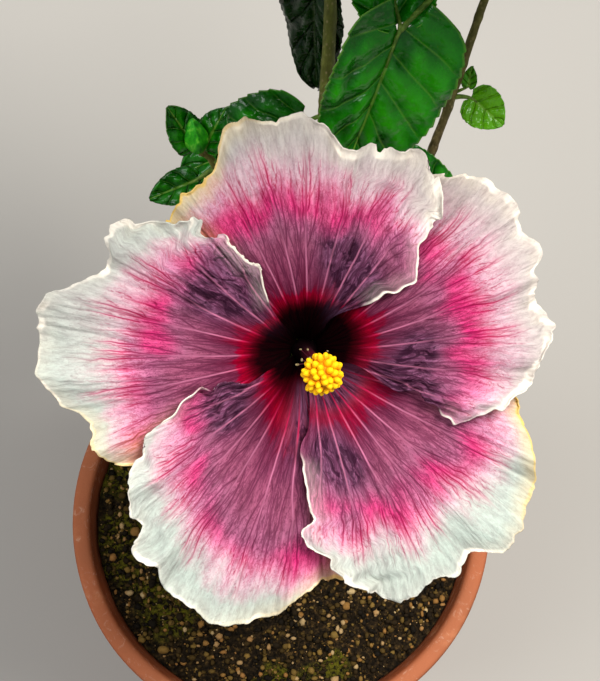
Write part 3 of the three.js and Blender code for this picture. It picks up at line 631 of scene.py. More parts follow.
def soil_finish(settings):
    soil = Finish("potting_mix", roughness=0.9, specular_ior_level=0.12)
    place = soil.place()
    lumps = soil.grain(place, 380, detail=6, rough=0.7)
    earth = soil.ramp(lumps, (0.36, paint(6, 4, 1)), (0.54, settings.mix), (0.7, paint(96, 72, 36)))
    green = soil.times(soil.value("moss"), soil.between(lumps, 0.4, 0.6), clamp=True)
    soil.colour(soil.mix(green, earth, settings.moss))
    soil.bump(lumps, 1.2)
    return soil.material


def grain_finish():
    """Crumbs, grit and pebbles, whose base colour is dealt out grain by grain."""
    grit = Finish("grit", roughness=0.8, specular_ior_level=0.15)
    tones = grit.ramp(
        grit.value("tone"), (0.0, paint(12, 8, 2)), (0.3, paint(40, 28, 8)), (0.5, paint(84, 64, 24)),
        (0.66, paint(132, 104, 48)), (0.8, paint(158, 110, 56)), (0.93, paint(196, 168, 118)))
    rough = grit.grain(grit.place(), 900, detail=5, rough=0.7)
    grit.colour(grit.mix(grit.between(rough, 0.3, 0.7, 0.35, 0), tones, paint(24, 17, 9)))
    grit.bump(rough, 0.25)
    return grit.material


def moss_finish(settings):
    moss = Finish("moss", roughness=0.85, specular_ior_level=0.2)
    moss.colour(moss.ramp(
        moss.value("tone"), (0.0, paint(30, 32, 6)), (0.5, settings.moss), (1.0, paint(118, 118, 32))))
    return moss.material


def build_soil(settings):
    rim, height = settings.rim_radius / MM, settings.height / MM
    level = height - SOIL_DROP
    wall = inner_radius(level, rim, height) - SOIL["kept_in"]
    bottom = POT["floor"] + SOIL["kept_in"]
    top = [(wall * (1 - i / SOIL["rings"]), level) for i in range(SOIL["rings"] + 1)]
    profile = [(0, bottom), (inner_radius(bottom, rim, height) - 0.5, bottom), *top]
    mesh = turned_profile("potting_mix", profile, SOIL["sides"])
    points = points_of(mesh)
    x, y = points[:, 0], points[:, 1]
    surface = points[:, 2] > level - 1
    points[:, 2] += np.where(surface, soil_height(x, y), 0)
    set_points(mesh, points)
    store(mesh, "moss", moss_cover(x, y) * surface)
    add_piece("potting_mix", mesh, "potting_mix", ["potting_soil"], soil_finish(settings))

    rng = np.random.default_rng(7)
    finish = grain_finish()
    scatter_crumbs(rng, settings.grains, level, wall).add_piece("soil_crumbs", "potting_mix", [], finish)
    scatter_pebbles(rng, level, wall).add_piece("soil_pebbles", "potting_mix", [], finish)
    scatter_moss(rng, level, wall).add_piece("moss_tufts", "potting_mix", [], moss_finish(settings))


def soil_spot(rng, reach, least=0):
    """A spot on the mix, as likely in the middle as near the wall."""
    out, turn = reach * math.sqrt(rng.uniform(least, 1)), rng.random() * 2 * math.pi
    return out * math.cos(turn), out * math.sin(turn)


def near_trunk(spot, reach):
    return math.dist(spot, TRUNK_FOOT) < reach


def on_soil(spot, height):
    return np.array([*spot, height + float(soil_height(*spot))])


def scatter_crumbs(rng, count, level, wall):
    """Crumbs of mix and grit, most of them small."""
    ball = ball_shape(1)
    crumbs = Gathering("tone")
    for i in range(count):
        spot = soil_spot(rng, wall * 0.985)
        if near_trunk(spot, CRUMBS["off_trunk"]):
            continue
        least, more = CRUMBS["size"]
        size = least + more * rng.random() ** 2.4
        squash = rng.uniform(*CRUMBS["squash"], 3)
        turned = ball.points @ np.linalg.qr(rng.normal(size=(3, 3)))[0] * squash
        lumpy = turned * (1 + CRUMBS["lumps"] * rng.uniform(-1, 1, (len(turned), 1)))
        centre = on_soil(spot, level + size * rng.uniform(0, 0.9))
        crumbs.add(ball, centre + size * lumpy, tone=CRUMBS["tone"] * rng.random() ** 1.5)
    return crumbs


def scatter_pebbles(rng, level, wall):
    """A few dozen worn pebbles, sunk a little into the mix."""
    ball = ball_shape(3)
    pebbles = Gathering("tone")
    for i in range(PEBBLES["count"]):
        spot = soil_spot(rng, wall * 0.96, least=0.12)
        least, more = PEBBLES["size"]
        size = least + more * rng.random() ** 2
        turned = ball.points * rng.uniform(*PEBBLES["squash"], 3)
        worn = turned * (1 + PEBBLES["wear"] * noise(*(1.3 * turned.T + 9 * i), seed=8))[:, None]
        centre = on_soil(spot, level + 0.35 * size)
        pebbles.add(ball, centre + size * worn, tone=rng.uniform(*PEBBLES["tone"]))
    return pebbles


def scatter_moss(rng, level, wall):
    """Short pointed tufts wherever the moss cover is thick enough."""
    blade = tube_shape(3, 1)
    tufts = Gathering("tone")
    for i in range(TUFTS["count"]):
        spot = soil_spot(rng, wall * 0.99)
        if moss_cover(*spot) < rng.uniform(0.3, 1) or near_trunk(spot, TUFTS["off_trunk"]):
            continue
        lean = rng.normal(0, TUFTS["lean"], 2)
        tall = rng.uniform(*TUFTS["height"])
        share = blade.points[:, 2:] + 0.5
        body = blade.points[:, :2] * TUFTS["radius"] * (1.05 - share) + lean * tall * share
        tone = share[:, 0] * 0.6 + 0.4 * rng.random()
        tufts.add(blade, on_soil(spot, level - 0.2) + np.hstack([body, tall * share]), tone=tone)
    return tufts


# Growth: the frame source's rule, written again, and carried on to finer twigs
TRUNK = {
    "route": [(4.4, -6.6, 172), (3, -4, 192), (4.5, 1, 212), (5, 5, 232)],
    "foot_radius": 9.5, "radius": 7, "tip_radius": 5.6, "flare_share": 0.22,
}
PETIOLE = {"radius": 1.15, "share": 0.3}
TWIG = {"lean": 0.9, "radii": (1.5, 0.8), "first_leaf": 0.4}
# SHADE is the slanting space under the bloom, and BEHIND the space behind it.
SHADE = {"x": 11, "y_at_bloom": 20, "bloom_height": 441, "slant": 0.25, "radius": 64, "widening": 0.12}
BEHIND = {"y_at_ground": 406, "slope": 0.5272, "top": 680}
LIMB_CLEARANCE = 3.2
MASS_CLEARANCE = 8
LEAF_CLEARANCE = 7
FINE_CLEARANCE = 3.4
TURNS_TRIED = (0, 0.6, -0.6, 1.2, -1.2, 1.8, -1.8)
SHOOTS = {
    "back": {
        "route": [
            (5, 5, 226), (8, 40, 280), (14, 88, 338), (19, 121, 384),
            (20.4, 136, 420), (21.2, 150.3, 470), (18, 160, 530), (12, 158, 585), (4, 140, 636),
        ],
        "radii": (4.6, 1.3), "split": 0.27, "seed": 11, "leafy": (0.66, 1), "stem_leaves": 8,
        "twigs": 7, "twig_leaves": 4, "twig_length": (100, 56), "leaf_length": (72, 48),
        "space": {"behind": True, "most": {0: 58}},
    },
    "right": {
        "route": [
            (6, 0, 212), (25, 30, 262), (47, 78, 322), (60.5, 113, 375), (70.5, 134, 420),
            (79.5, 155.6, 460), (89, 174, 500), (96, 178, 550), (98, 164, 604),
        ],
        "radii": (3.8, 1.2), "slim": 0.74, "woody": 0.45, "split": 0.27, "seed": 31,
        "leafy": (0.66, 1), "stem_leaves": 8,
        "twigs": 7, "twig_leaves": 4, "twig_length": (92, 52), "leaf_length": (70, 46),
        "space": {"behind": True, "least": {0: 62}},
    },
    "flower": {
        "route": [(5, 3, 227), (5, 7, 262), (7, 26, 300), (10, 52, 334)],
        "radii": (3.4, 2.1), "split": 0.5, "seed": 37, "leafy": (0.54, 1), "stem_leaves": 9,
        "twigs": 0, "leaf_length": (64, 54),
        "space": {"shade": True, "least": {0: -1, 1: 19, 2: 280}, "most": {2: 376}},
    },
    "left": {
        "route": [
            (3, 4, 222), (-5, 32, 270), (-12, 64, 322), (-18, 88, 376), (-23, 101.9, 425),
            (-28.7, 103.2, 440),
        ],
        "radii": (2.9, 1.2), "split": 0.34, "seed": 41, "leafy": (0.38, 0.7), "stem_leaves": 8,
        "twigs": 0, "leaf_length": (60, 46),
        "space": {"shade": True, "least": {2: 280}, "most": {0: -4, 2: 380}},
    },
    "low_right": {
        "route": [(6, -4, 196), (26, 8, 220), (42, 22, 244), (52, 38, 272)],
        "radii": (2.8, 1.3), "split": 0, "seed": 53, "leafy": (0.42, 1), "stem_leaves": 10,
        "twigs": 3, "twig_leaves": 3, "twig_length": (46, 34), "leaf_length": (60, 44),
        "space": {"shade": True, "least": {0: 7, 2: 184}, "most": {2: 300}},
    },
    "low_left": {
        "route": [(2, -4, 204), (-16, 6, 226), (-30, 20, 250), (-38, 36, 276)],
        "radii": (2.8, 1.3), "split": 0, "seed": 67, "leafy": (0.42, 1), "stem_leaves": 10,
        "twigs": 3, "twig_leaves": 3, "twig_length": (46, 34), "leaf_length": (60, 44),
        "space": {"shade": True, "least": {2: 184}, "most": {0: 3, 2: 300}},
    },
    "low_front": {
        "route": [(4, -4, 212), (8, -17, 240), (12, -19, 272), (15, -12, 306)],
        "radii": (2.6, 1.2), "split": 0, "seed": 79, "leafy": (0.34, 1), "stem_leaves": 10,
        "twigs": 0, "leaf_length": (54, 44),
        "space": {"shade": True, "least": {0: -22, 2: 250}, "most": {0: 60, 1: 16, 2: 366}},
    },
}
FINE_TWIG = {"on_stem": 9, "on_twig": 4, "from": 0.3, "length": (20, 16), "leaves_at": (0.45, 0.75, 1.0),
             "leaf_length": (20, 20), "radii": (0.95, 0.55)}
GREEN_TWIG = {
    "shoot": "right", "at": 0.69, "route": [(66, 152, 484), (46.3, 134.2, 478)], "radii": (1.6, 1.2),
}
# Some leaves are given a share of painted shadow, which darkens those that lie in shade.
SHOWN_LEAVES = [
    {"shoot": "right", "on_twig": True, "base": (45.8, 133.2, 478), "tip": (24.7, 89.6, 420.5),
     "width": 50, "lopsided": -0.12, "facing": (0.3, -0.42, 0.86), "heart": 0.25, "trim": 0.9},
    {"shoot": "right", "on_twig": True, "base": (46, 136.5, 479.5), "tip": (34, 188, 488),
     "width": 32, "facing": (0.1, -0.3, 0.95)},
    {"shoot": "right", "at": 0.5, "base": (78, 133.5, 421), "tip": (91, 123, 417),
     "width": 17, "facing": (0.1, -0.5, 0.85), "youth": 1},
    {"shoot": "right", "at": 0.505, "base": (76.6, 136, 424.5), "tip": (77.5, 142, 431),
     "width": 6, "facing": (-0.2, -0.8, 0.5), "youth": 0.5},
    {"shoot": "right", "at": 0.385, "base": (69, 105, 376), "tip": (47, 120, 407),
     "width": 23, "facing": (0.1, -0.7, 0.7)},
    {"shoot": "back", "at": 0.7, "base": (15, 162, 474), "tip": (15, 137.5, 414),
     "width": 26, "facing": (-0.35, -0.55, 0.75), "dusk": 0.92},
    {"shoot": "back", "at": 0.46, "base": (11, 131, 400), "tip": (-41, 116, 382),
     "width": 38, "facing": (0, -0.4, 0.9), "dusk": 0.35},
    {"shoot": "back", "at": 0.42, "base": (21.5, 124, 392), "tip": (46, 110, 402),
     "width": 20, "facing": (0, -0.3, 0.95)},
    {"shoot": "left", "at": 0.98, "base": (-30.5, 104.5, 441), "tip": (-38.5, 113, 457),
     "width": 15, "facing": (0.6, -0.5, 0.6), "dusk": 0.45},
    {"shoot": "left", "at": 0.975, "base": (-26, 104, 441), "tip": (-18.5, 114.5, 453),
     "width": 14, "facing": (-0.6, -0.6, 0.5), "dusk": 0.45},
    {"shoot": "left", "at": 0.8, "base": (-29.7, 97.5, 424), "tip": (-48.5, 89.5, 424),
     "width": 14, "facing": (0, -0.3, 0.95), "dusk": 0.45},
    {"shoot": "left", "at": 0.84, "base": (-20.5, 101.5, 430), "tip": (-12, 101, 442),
     "width": 9, "facing": (-0.3, -0.6, 0.7), "dusk": 0.45},
]
BUD = {"base": (-28.7, 103.2, 439), "tip": (-30.3, 110.5, 453), "radius": 4.2}
ACROSS_SAMPLES, ALONG_SAMPLES = np.meshgrid(
    (-1, -0.5, 0, 0.5, 1), (0, 0.13, 0.25, 0.38, 0.5, 0.63, 0.75, 0.88, 1), indexing="ij")


def trunk_radius(along):
    flare = (TRUNK["foot_radius"] - TRUNK["radius"]) * (1 - smooth(along, 0, TRUNK["flare_share"]))
    return lerp(TRUNK["radius"], TRUNK["tip_radius"], along) + flare


def shoot_radius(shoot):
    return lambda along: lerp(*shoot["radii"], np.asarray(along, float) ** 0.8)


def drawn_radius(shoot):
    """The radius that a shoot is drawn with, where it may be slimmer than the rule says."""
    return lambda along: shoot_radius(shoot)(along) * lerp(1, shoot.get("slim", 1), smooth(along, 0.27, 0.42))


def leaf_outline(along):
    return along**0.4 * (1 - along) ** 0.743 / 0.477


def leaf_frame(leaf):
    sideways = unit(np.cross(leaf["axis"], leaf["facing"]))
    return sideways, np.cross(sideways, leaf["axis"])


def leaf_points(leaf, out, along, rise):
    """Points of a blade from how far each lies out from the midrib, along it and above it."""
    sideways, up = leaf_frame(leaf)
    return (leaf["base"] + leaf["length"] * along[:, None] * leaf["axis"]
            + out[:, None] * sideways + rise[:, None] * up)


def blade_samples(leaf):
    across, along = ACROSS_SAMPLES.ravel().astype(float), ALONG_SAMPLES.ravel()
    wider = 1 + leaf["lopsided"] * np.sign(across)
    out = across * leaf["width"] * leaf_outline(0.02 + 0.96 * along) * wider / 2
    rise = leaf["fold"] * np.abs(out) - leaf["droop"] * leaf["length"] * along**2
    return leaf_points(leaf, out, along, rise)


def stalk_samples(leaf):
    return np.array([lerp(leaf["start"], leaf["base"], share) for share in (0.5, 0.75)])


def inside_space(space, points):
    """Whether every point keeps to a mass's own space."""
    x, y, z = points.T
    for i, least in space.get("least", {}).items():
        if (points[:, i] < least).any():
            return False
    for i, most in space.get("most", {}).items():
        if (points[:, i] > most).any():
            return False
    if space.get("behind"):
        return bool(((z < BEHIND["top"]) & (y > BEHIND["y_at_ground"] - BEHIND["slope"] * z)).all())
    below = SHADE["bloom_height"] - z
    centre = SHADE["y_at_bloom"] + SHADE["slant"] * below
    return bool((np.hypot(x - SHADE["x"], y - centre) < SHADE["radius"] + SHADE["widening"] * below).all())


def any_near(points, others, reach):
    """Whether any point lies within reach of any other, where reach may differ for each other."""
    if not len(others):
        return False
    apart = ((points[:, None, :] - others[None, :, :]) ** 2).sum(-1)
    return bool((apart < np.square(reach)).any())


class Growth:
    """Grows every shoot by the rule, and remembers where each limb and leaf lies."""

    def __init__(self):
        self.routes = {name: Route(shoot["route"], even=True) for name, shoot in SHOOTS.items()}
        steps = np.linspace(0, 1, 81)
        self.limbs = {name: self.routes[name].at(steps) for name in SHOOTS}
        self.limb_radii = {name: shoot_radius(SHOOTS[name])(steps) for name in SHOOTS}
        self.blades = {name: np.empty((0, 3)) for name in SHOOTS}
        self.stalks = {name: np.empty((0, 3)) for name in SHOOTS}
        self.shown, self.leaves, self.twigs, self.fine_twigs = (
            {name: [] for name in SHOOTS} for _ in range(4))
        for given in SHOWN_LEAVES:
            leaf = self.shown_leaf(given)
            self.shown[given["shoot"]].append(leaf)
            self.place(given["shoot"], leaf)
        for name in SHOOTS:
            self.grow(name)
        for name in SHOOTS:
            self.grow_finer(name)

    def shown_leaf(self, given):
        base, tip = np.array(given["base"], float), np.array(given["tip"], float)
        if given.get("on_twig"):
            start = np.array(GREEN_TWIG["route"][1], float)
        else:
            start = self.routes[given["shoot"]].at(given["at"])
        return {
            "lopsided": 0, "fold": 0.16, "droop": 0.06, "heart": 0.1, "youth": 0, "dusk": 0, "trim": 1,
            **given, "start": start, "base": base, "axis": unit(tip - base),
            "facing": np.array(given["facing"], float), "length": float(np.linalg.norm(tip - base)),
        }

    def place(self, name, leaf):
        self.blades[name] = np.vstack([self.blades[name], blade_samples(leaf)])
        self.stalks[name] = np.vstack([self.stalks[name], stalk_samples(leaf)])

    def others(self, name):
        return np.vstack([part[one] for part in (self.blades, self.stalks) for one in SHOOTS if one != name])

    def near_limbs(self, points, names):
        limbs = np.vstack([self.limbs[one] for one in names])
        radii = np.concatenate([self.limb_radii[one] for one in names])
        return any_near(points, limbs, radii + LIMB_CLEARANCE)

    def leaf_fits(self, name, leaf, clearance=LEAF_CLEARANCE):
        blade, stalk = blade_samples(leaf), stalk_samples(leaf)
        if not inside_space(SHOOTS[name]["space"], np.vstack([blade, stalk])):
            return False
        if self.near_limbs(blade, SHOOTS) or self.near_limbs(stalk, [one for one in SHOOTS if one != name]):
            return False
        if any_near(blade, self.blades[name], clearance):
            return False
        return not any_near(np.vstack([blade, stalk]), self.others(name), MASS_CLEARANCE)

    def twig_fits(self, name, twig):
        points = twig.at(np.arange(2, 9) / 8)
        if not inside_space(SHOOTS[name]["space"], points) or self.near_limbs(points, SHOOTS):
            return False
        return not any_near(points, self.others(name), MASS_CLEARANCE)

    def grow(self, name):
        shoot, draws = SHOOTS[name], draws_from(SHOOTS[name]["seed"])
        first, last = shoot["leafy"]
        turn = 2 * math.pi * next(draws)
        for i in range(shoot["twigs"]):
            share = (i + 0.5) / shoot["twigs"]
            length = lerp(*shoot["twig_length"], share) * (0.85 + 0.3 * next(draws))
            turn += GOLDEN_TURN
            for more in TURNS_TRIED:
                twig = twig_by_rule(self.routes[name], lerp(first, last, share), turn + more, length)
                if self.twig_fits(name, twig):
                    self.twigs[name].append(twig)
                    break
        stems = [(self.routes[name], shoot["stem_leaves"], first, last)]
        stems += [(twig, shoot["twig_leaves"], TWIG["first_leaf"], 1) for twig in self.twigs[name]]
        for route, count, start, end in stems:
            for i in range(count):
                share = i / (count - 1) if count > 1 else 1
                length = lerp(*shoot["leaf_length"], share) * (0.85 + 0.3 * next(draws))
                tilt = lerp(0.55, -0.2, share) + 0.6 * (next(draws) - 0.5)
                turn += GOLDEN_TURN
                self.try_leaf(name, route, lerp(start, end, share), turn, length, tilt, LEAF_CLEARANCE)

    def try_leaf(self, name, route, along, turn, length, tilt, clearance):
        for more in TURNS_TRIED:
            leaf = leaf_by_rule(route, along, turn + more, length, tilt)
            if self.leaf_fits(name, leaf, clearance):
                self.leaves[name].append(leaf)
                self.place(name, leaf)
                return

    def grow_finer(self, name):
        """Short side twigs with two or three small leaves each, between the leaves of the rule."""
        shoot, draws = SHOOTS[name], draws_from(SHOOTS[name]["seed"] + 500)
        turn = 2 * math.pi * next(draws)
        stems = [(self.routes[name], FINE_TWIG["on_stem"], *shoot["leafy"])]
        stems += [(twig, FINE_TWIG["on_twig"], FINE_TWIG["from"], 1) for twig in self.twigs[name]]
        least, more = FINE_TWIG["length"]
        smallest, spread = FINE_TWIG["leaf_length"]
        for route, count, start, end in stems:
            for i in range(count):
                turn += GOLDEN_TURN
                length = least + more * next(draws)
                along = lerp(start, end, (i + 0.5) / count)
                fine = twig_by_rule(route, along, turn, length)
                if not self.twig_fits(name, fine):
                    continue
                grown = len(self.leaves[name])
                for share in FINE_TWIG["leaves_at"]:
                    turn += GOLDEN_TURN
                    size = smallest + spread * next(draws)
                    tilt = 0.5 * (next(draws) - 0.5)
                    self.try_leaf(name, fine, share, turn, size, tilt, FINE_CLEARANCE)
                if len(self.leaves[name]) > grown:
                    self.fine_twigs[name].append(fine)


def leaf_by_rule(route, along, turn, length, tilt):
    """A leaf's stalk leaves the stem at an angle, and its blade turns out and down."""
    tangent, side, other = route.across(along)
    start = route.at(along)
    stalk = unit(0.6 * tangent + 0.8 * (side * math.cos(turn) + other * math.sin(turn)))
    level = unit([stalk[0], stalk[1], 0])
    axis = np.array([level[0] * math.cos(tilt), level[1] * math.cos(tilt), -math.sin(tilt)])
    return {
        "start": start, "base": start + PETIOLE["share"] * length * stalk, "axis": axis,
        "facing": np.array([-0.1 * axis[0], -0.1 * axis[1] - 0.15, 1]), "length": length,
        "width": 0.7 * length, "lopsided": 0, "fold": 0.2, "droop": 0.16, "heart": 0.1, "trim": 1,
    }


def twig_by_rule(route, along, turn, length):
    """A twig leaves the stem at a lean and bends up."""
    tangent, side, other = route.across(along)
    out = side * math.cos(turn) + other * math.sin(turn)
    heading = tangent * math.cos(TWIG["lean"]) + out * math.sin(TWIG["lean"])
    start = route.at(along)
    middle = start + heading * length / 2
    upward = unit(0.6 * heading + np.array([0, 0, 0.6]))
    return Route([start, middle, middle + upward * length / 2])


# Stems
def bark_finish(settings):
    bark = Finish("bark", roughness=0.72, specular_ior_level=0.3)
    fibres = bark.grain(bark.place((420, 420, 60)), 1, detail=5, rough=0.65)
    old = bark.ramp(fibres, (0.3, paint(64, 48, 28)), (0.5, settings.bark), (0.72, paint(158, 134, 92)))
    young = bark.ramp(fibres, (0.3, paint(78, 80, 26)), (0.55, settings.young), (0.75, paint(138, 142, 66)))
    aged = bark.mix(bark.between(bark.value("age"), 0.25, 0.75), young, old)
    pores = bark.between(bark.cells(bark.place((1, 1, 0.45)), 520), 0.05, 0.3, 0.7, 0)
    bark.colour(bark.mix(pores, aged, paint(170, 150, 108)))
    bark.bump(fibres, 0.4)
    return bark.material


def bark_relief(depth, seed):
    """Cracks that run along a stem, deeper on old wood."""
    def relief(along, turn):
        x, y = np.cos(turn), np.sin(turn)
        cracks = noise(2.6 * x, 2.6 * y, along * 34, seed=seed)
        flakes = noise(6 * x, 6 * y, along * 90, seed=seed + 1)
        rings = np.maximum(np.sin(along * 2 * math.pi * 17), 0.8) - 0.8
        return depth * (cracks + 0.5 * flakes) * (1 - 0.7 * along) + 1.6 * rings * (0.4 + 0.6 * (1 - along))
    return relief


def build_stems(growth, settings):
    finish = bark_finish(settings)
    depth = settings.relief / MM
    route = Route(TRUNK["route"], even=True)
    shape = tube_shape(48, 90)

    def root_flare(along, turn):
        ribs = 0.9 * np.cos(3 * turn + 0.7) * (1 - smooth(along, 0, 0.35))
        return bark_relief(depth * 1.6, 41)(along, turn) + ribs

    trunk = Gathering("age")
    trunk.add(shape, bend_tube(shape, route, trunk_radius, relief=root_flare)[0], age=1)
    trunk.add_piece("trunk_bark", "bark", ["trunk"], finish)
    for seed, (name, shoot) in enumerate(SHOOTS.items()):
        route = growth.routes[name]
        shape = tube_shape(24, int(route.length() / 1.6))
        relief = bark_relief(depth, 50 + seed)
        points, along = bend_tube(shape, route, drawn_radius(shoot), relief=relief)
        stem = Gathering("age")
        older = 1 - smooth(along, 0.15, 0.55) if shoot["split"] else 0.35 * (1 - along)
        stem.add(shape, points, age=older + shoot.get("woody", 0.1) * (along > 0))
        replaced = [f"bough_{name}"] if shoot["split"] else []
        stem.add_piece(f"stem_{name}", "bark", replaced, finish)


# Leaves
STALK_GREENS = (paint(70, 100, 34), paint(104, 136, 48), paint(146, 170, 82))
BUD_GREENS = (paint(12, 104, 4), paint(42, 160, 12), paint(126, 208, 62))


def leaf_veins(leaf):
    """The midrib and the side veins, drawn sharp from the values that a leaf carries."""
    off_vein = leaf.maths("ABSOLUTE", leaf.maths("SUBTRACT", leaf.maths("FRACT", leaf.value("ribs")), 0.5))
    inside = leaf.between(leaf.value("away"), 0.7, 1.0, 0.375, 0)
    side = leaf.times(leaf.between(off_vein, 0.0, 0.05, 1, 0), inside)
    midrib = leaf.between(leaf.value("mid"), 0.45, 1.1, 1, 0)
    return leaf.most(side, midrib), off_vein


def leaf_finish(settings):
    leaf = Finish("leaf_upper", roughness=0.3, specular_ior_level=0.34)
    place = leaf.place()
    mottle = leaf.grain(place, 90, detail=4)
    # Painted light and shade: the bulges between the side veins are drawn brighter and the hollows darker,
    # with a random mottle on top.
    depth = leaf.maths("ADD", leaf.value("swell"), leaf.times(mottle, 0.6))
    green = leaf.ramp(depth, (0.2, paint(4, 70, 2)), (0.55, settings.deep), (1.0, settings.bright))
    fresh = leaf.mix(leaf.value("youth"), green, paint(96, 172, 14))
    net = leaf.between(leaf.cells(place, 620, "DISTANCE_TO_EDGE"), 0.0, 0.1, 0.22, 0)
    meshed = leaf.mix(net, fresh, paint(40, 130, 20))
    veins, off_vein = leaf_veins(leaf)
    veined = leaf.mix(leaf.times(veins, 0.8), meshed, settings.vein)
    # Painted highlight: a thin pale line along the margin, as where light shows through the edge.
    margin_highlighted = leaf.mix(leaf.between(leaf.value("away"), 0.96, 1.0, 0, 0.5), veined, settings.vein)
    # Painted shadow: a leaf that lies in shade is drawn darker by its own share.
    leaf.colour(leaf.mix(leaf.value("dusk"), margin_highlighted, paint(2, 20, 2)))
    leaf.roughness(leaf.between(mottle, 0.3, 0.7, 0.15, 0.32))
    leaf.bump(leaf.grain(place, 120, detail=2), 4.0, 0.7)
    leaf.bump(leaf.cells(place, 620, "DISTANCE_TO_EDGE"), 0.3, 0.4)
    leaf.bump(leaf.between(off_vein, 0.0, 0.14), 0.8, 0.8)
    return leaf.material


def leaf_under_finish(settings):
    leaf = Finish("leaf_under", roughness=0.6, specular_ior_level=0.25)
    mottle = leaf.grain(leaf.place(), 120, detail=4)
    green = leaf.ramp(mottle, (0.3, paint(52, 98, 34)), (0.7, settings.under))
    veined = leaf.mix(leaf.times(leaf_veins(leaf)[0], 0.8), green, paint(140, 172, 96))
    # Painted shadow, as on the upper side.
    leaf.colour(leaf.mix(leaf.value("dusk"), veined, paint(10, 30, 8)))
    leaf.bump(leaf.cells(leaf.place(), 620, "DISTANCE_TO_EDGE"), 0.3, 0.5)
    return leaf.material


def stalk_finish(name, *greens):
    stalk = Finish(name, roughness=0.5, specular_ior_level=0.25)
    streaks = stalk.grain(stalk.place((500, 500, 120)), 1, detail=3)
    stalk.colour(stalk.ramp(streaks, *zip((0.3, 0.55, 0.8), greens)))
    stalk.bump(streaks, 0.2)
    return stalk.material


def dress_leaf(shape, leaf, veins, teeth, seed, rib_width):
    """A blade with its teeth, the bulges between its side veins, and values for its material."""
    across, along = 2 * shape.points[:, 0], shape.points[:, 1] + 0.5
    kept = 0.01 + 0.98 * along
    away = np.abs(across)
    saw = (along * teeth + 0.35 * away + 0.3 * noise(along * 5, np.sign(across), seed=seed)) % 1 - 0.5
    edge = 1 + 0.045 * saw * away**4 * smooth(along, 0.02, 0.12)
    wider = 1 + leaf["lopsided"] * np.sign(across)
    broad = leaf_outline(kept) + leaf["heart"] * (1 - along) ** 4 * smooth(along, 0, 0.1)
    out = across * leaf["width"] * leaf["trim"] * broad * wider / 2 * edge
    arch = along - 0.34 * away + 0.06 * away**2 + 0.02 * np.sign(across)
    arch = arch + 0.02 * noise(3 * across, 3 * along, seed=seed)
    ribs = arch * veins
    between = np.abs(np.cos(math.pi * (ribs - 0.5)))
    middle = np.exp(-np.abs(out) / (0.035 * leaf["length"]))
    bulge = (1 - between**1.6) * (1 - middle) * smooth(1.02 - away, 0, 0.3) * smooth(along, 0, 0.15)
    waves = np.sin(along * 9 + seed) * away**2 + noise(3 * across + seed, 4 * along, seed=61) * 0.6
    rise = leaf["fold"] * np.abs(out) - leaf["droop"] * leaf["length"] * along**2
    dents = noise(5 * across + seed, 8 * along, seed=62) * (1 - middle)
    rise = rise + leaf["length"] * (0.02 * bulge + 0.024 * waves * away - 0.012 * middle + 0.014 * dents)
    backward = along - leaf["heart"] * 0.7 * away**1.5 * (1 - along) ** 3
    points = leaf_points(leaf, out, backward, rise)
    mid = np.abs(out) / (rib_width * (1.25 - along))
    # The value for the bulges and dents is painted light: high where the blade rises, low in its hollows.
    return points, {"ribs": ribs, "mid": mid, "away": away, "swell": 0.32 * bulge + 0.22 + 0.3 * dents}


def stalk_of(leaf):
    """The route of a leaf's stalk, sunk a little into the blade, and its radius."""
    arch = lerp(leaf["start"], leaf["base"], 0.55)
    arch[2] += 0.08 * np.linalg.norm(leaf["base"] - leaf["start"])
    thin = min(PETIOLE["radius"], 0.045 * leaf["length"] + 0.35)
    up = leaf_frame(leaf)[1]
    end = leaf["base"] + 0.2 * leaf["length"] * leaf["axis"] - 0.35 * up
    inside = leaf["base"] + 0.05 * leaf["length"] * leaf["axis"] - 0.3 * up
    return Route([leaf["start"], arch, inside, end], even=True), lambda along: thin * (1.1 - 0.85 * along)


def build_foliage(growth, settings):
    upper, under = leaf_finish(settings), leaf_under_finish(settings)
    stalks = stalk_finish("green_stalk", *STALK_GREENS)
    wide, narrow, small = grid_shape(80, 110), grid_shape(32, 60), grid_shape(6, 18)
    stalk_tube, twig_tube = tube_shape(6, 8), tube_shape(10, 24)

    def taper(radii):
        return lambda along: lerp(*radii, along)

    for name in SHOOTS:
        blades = Gathering("ribs", "mid", "away", "swell", "youth", "dusk")
        green = Gathering()
        for seed, leaf in enumerate(growth.shown[name]):
            shape = wide if leaf["width"] > 30 else narrow
            veins = 5.5 if leaf["width"] > 20 else 3.5
            teeth = max(7, round(leaf["length"] / 3.8))
            points, values = dress_leaf(shape, leaf, veins, teeth, seed, 0.7)
            blades.add(shape, points, youth=leaf["youth"], dusk=leaf["dusk"], **values)
        for seed, leaf in enumerate(growth.leaves[name]):
            points, values = dress_leaf(small, leaf, 5.5, 6, seed + 20, 0.8)
            youth = 0.4 * smooth(46 - leaf["length"], 0, 26)
            blades.add(small, points, youth=youth, dusk=0, **values)
        for leaf in growth.shown[name] + growth.leaves[name]:
            green.add_tube(stalk_tube, *stalk_of(leaf))
        for twig in growth.twigs[name]:
            green.add_tube(twig_tube, twig, taper(TWIG["radii"]))
        for twig in growth.fine_twigs[name]:
            green.add_tube(stalk_tube, twig, taper(FINE_TWIG["radii"]))
        if name == GREEN_TWIG["shoot"]:
            route = Route([growth.routes[name].at(GREEN_TWIG["at"]), *GREEN_TWIG["route"]])
            green.add_tube(twig_tube, route, taper(GREEN_TWIG["radii"]))
        mass = [f"foliage_{name}"]
        leaves = blades.add_piece(f"leaves_{name}", "leaf", mass, upper, under)
        give_thickness(leaves, settings.thickness / MM, back_material=True)
        green.add_piece(f"twigs_{name}", "green_stalk", mass, stalks)
    build_bud(stalk_finish("bud", *BUD_GREENS))


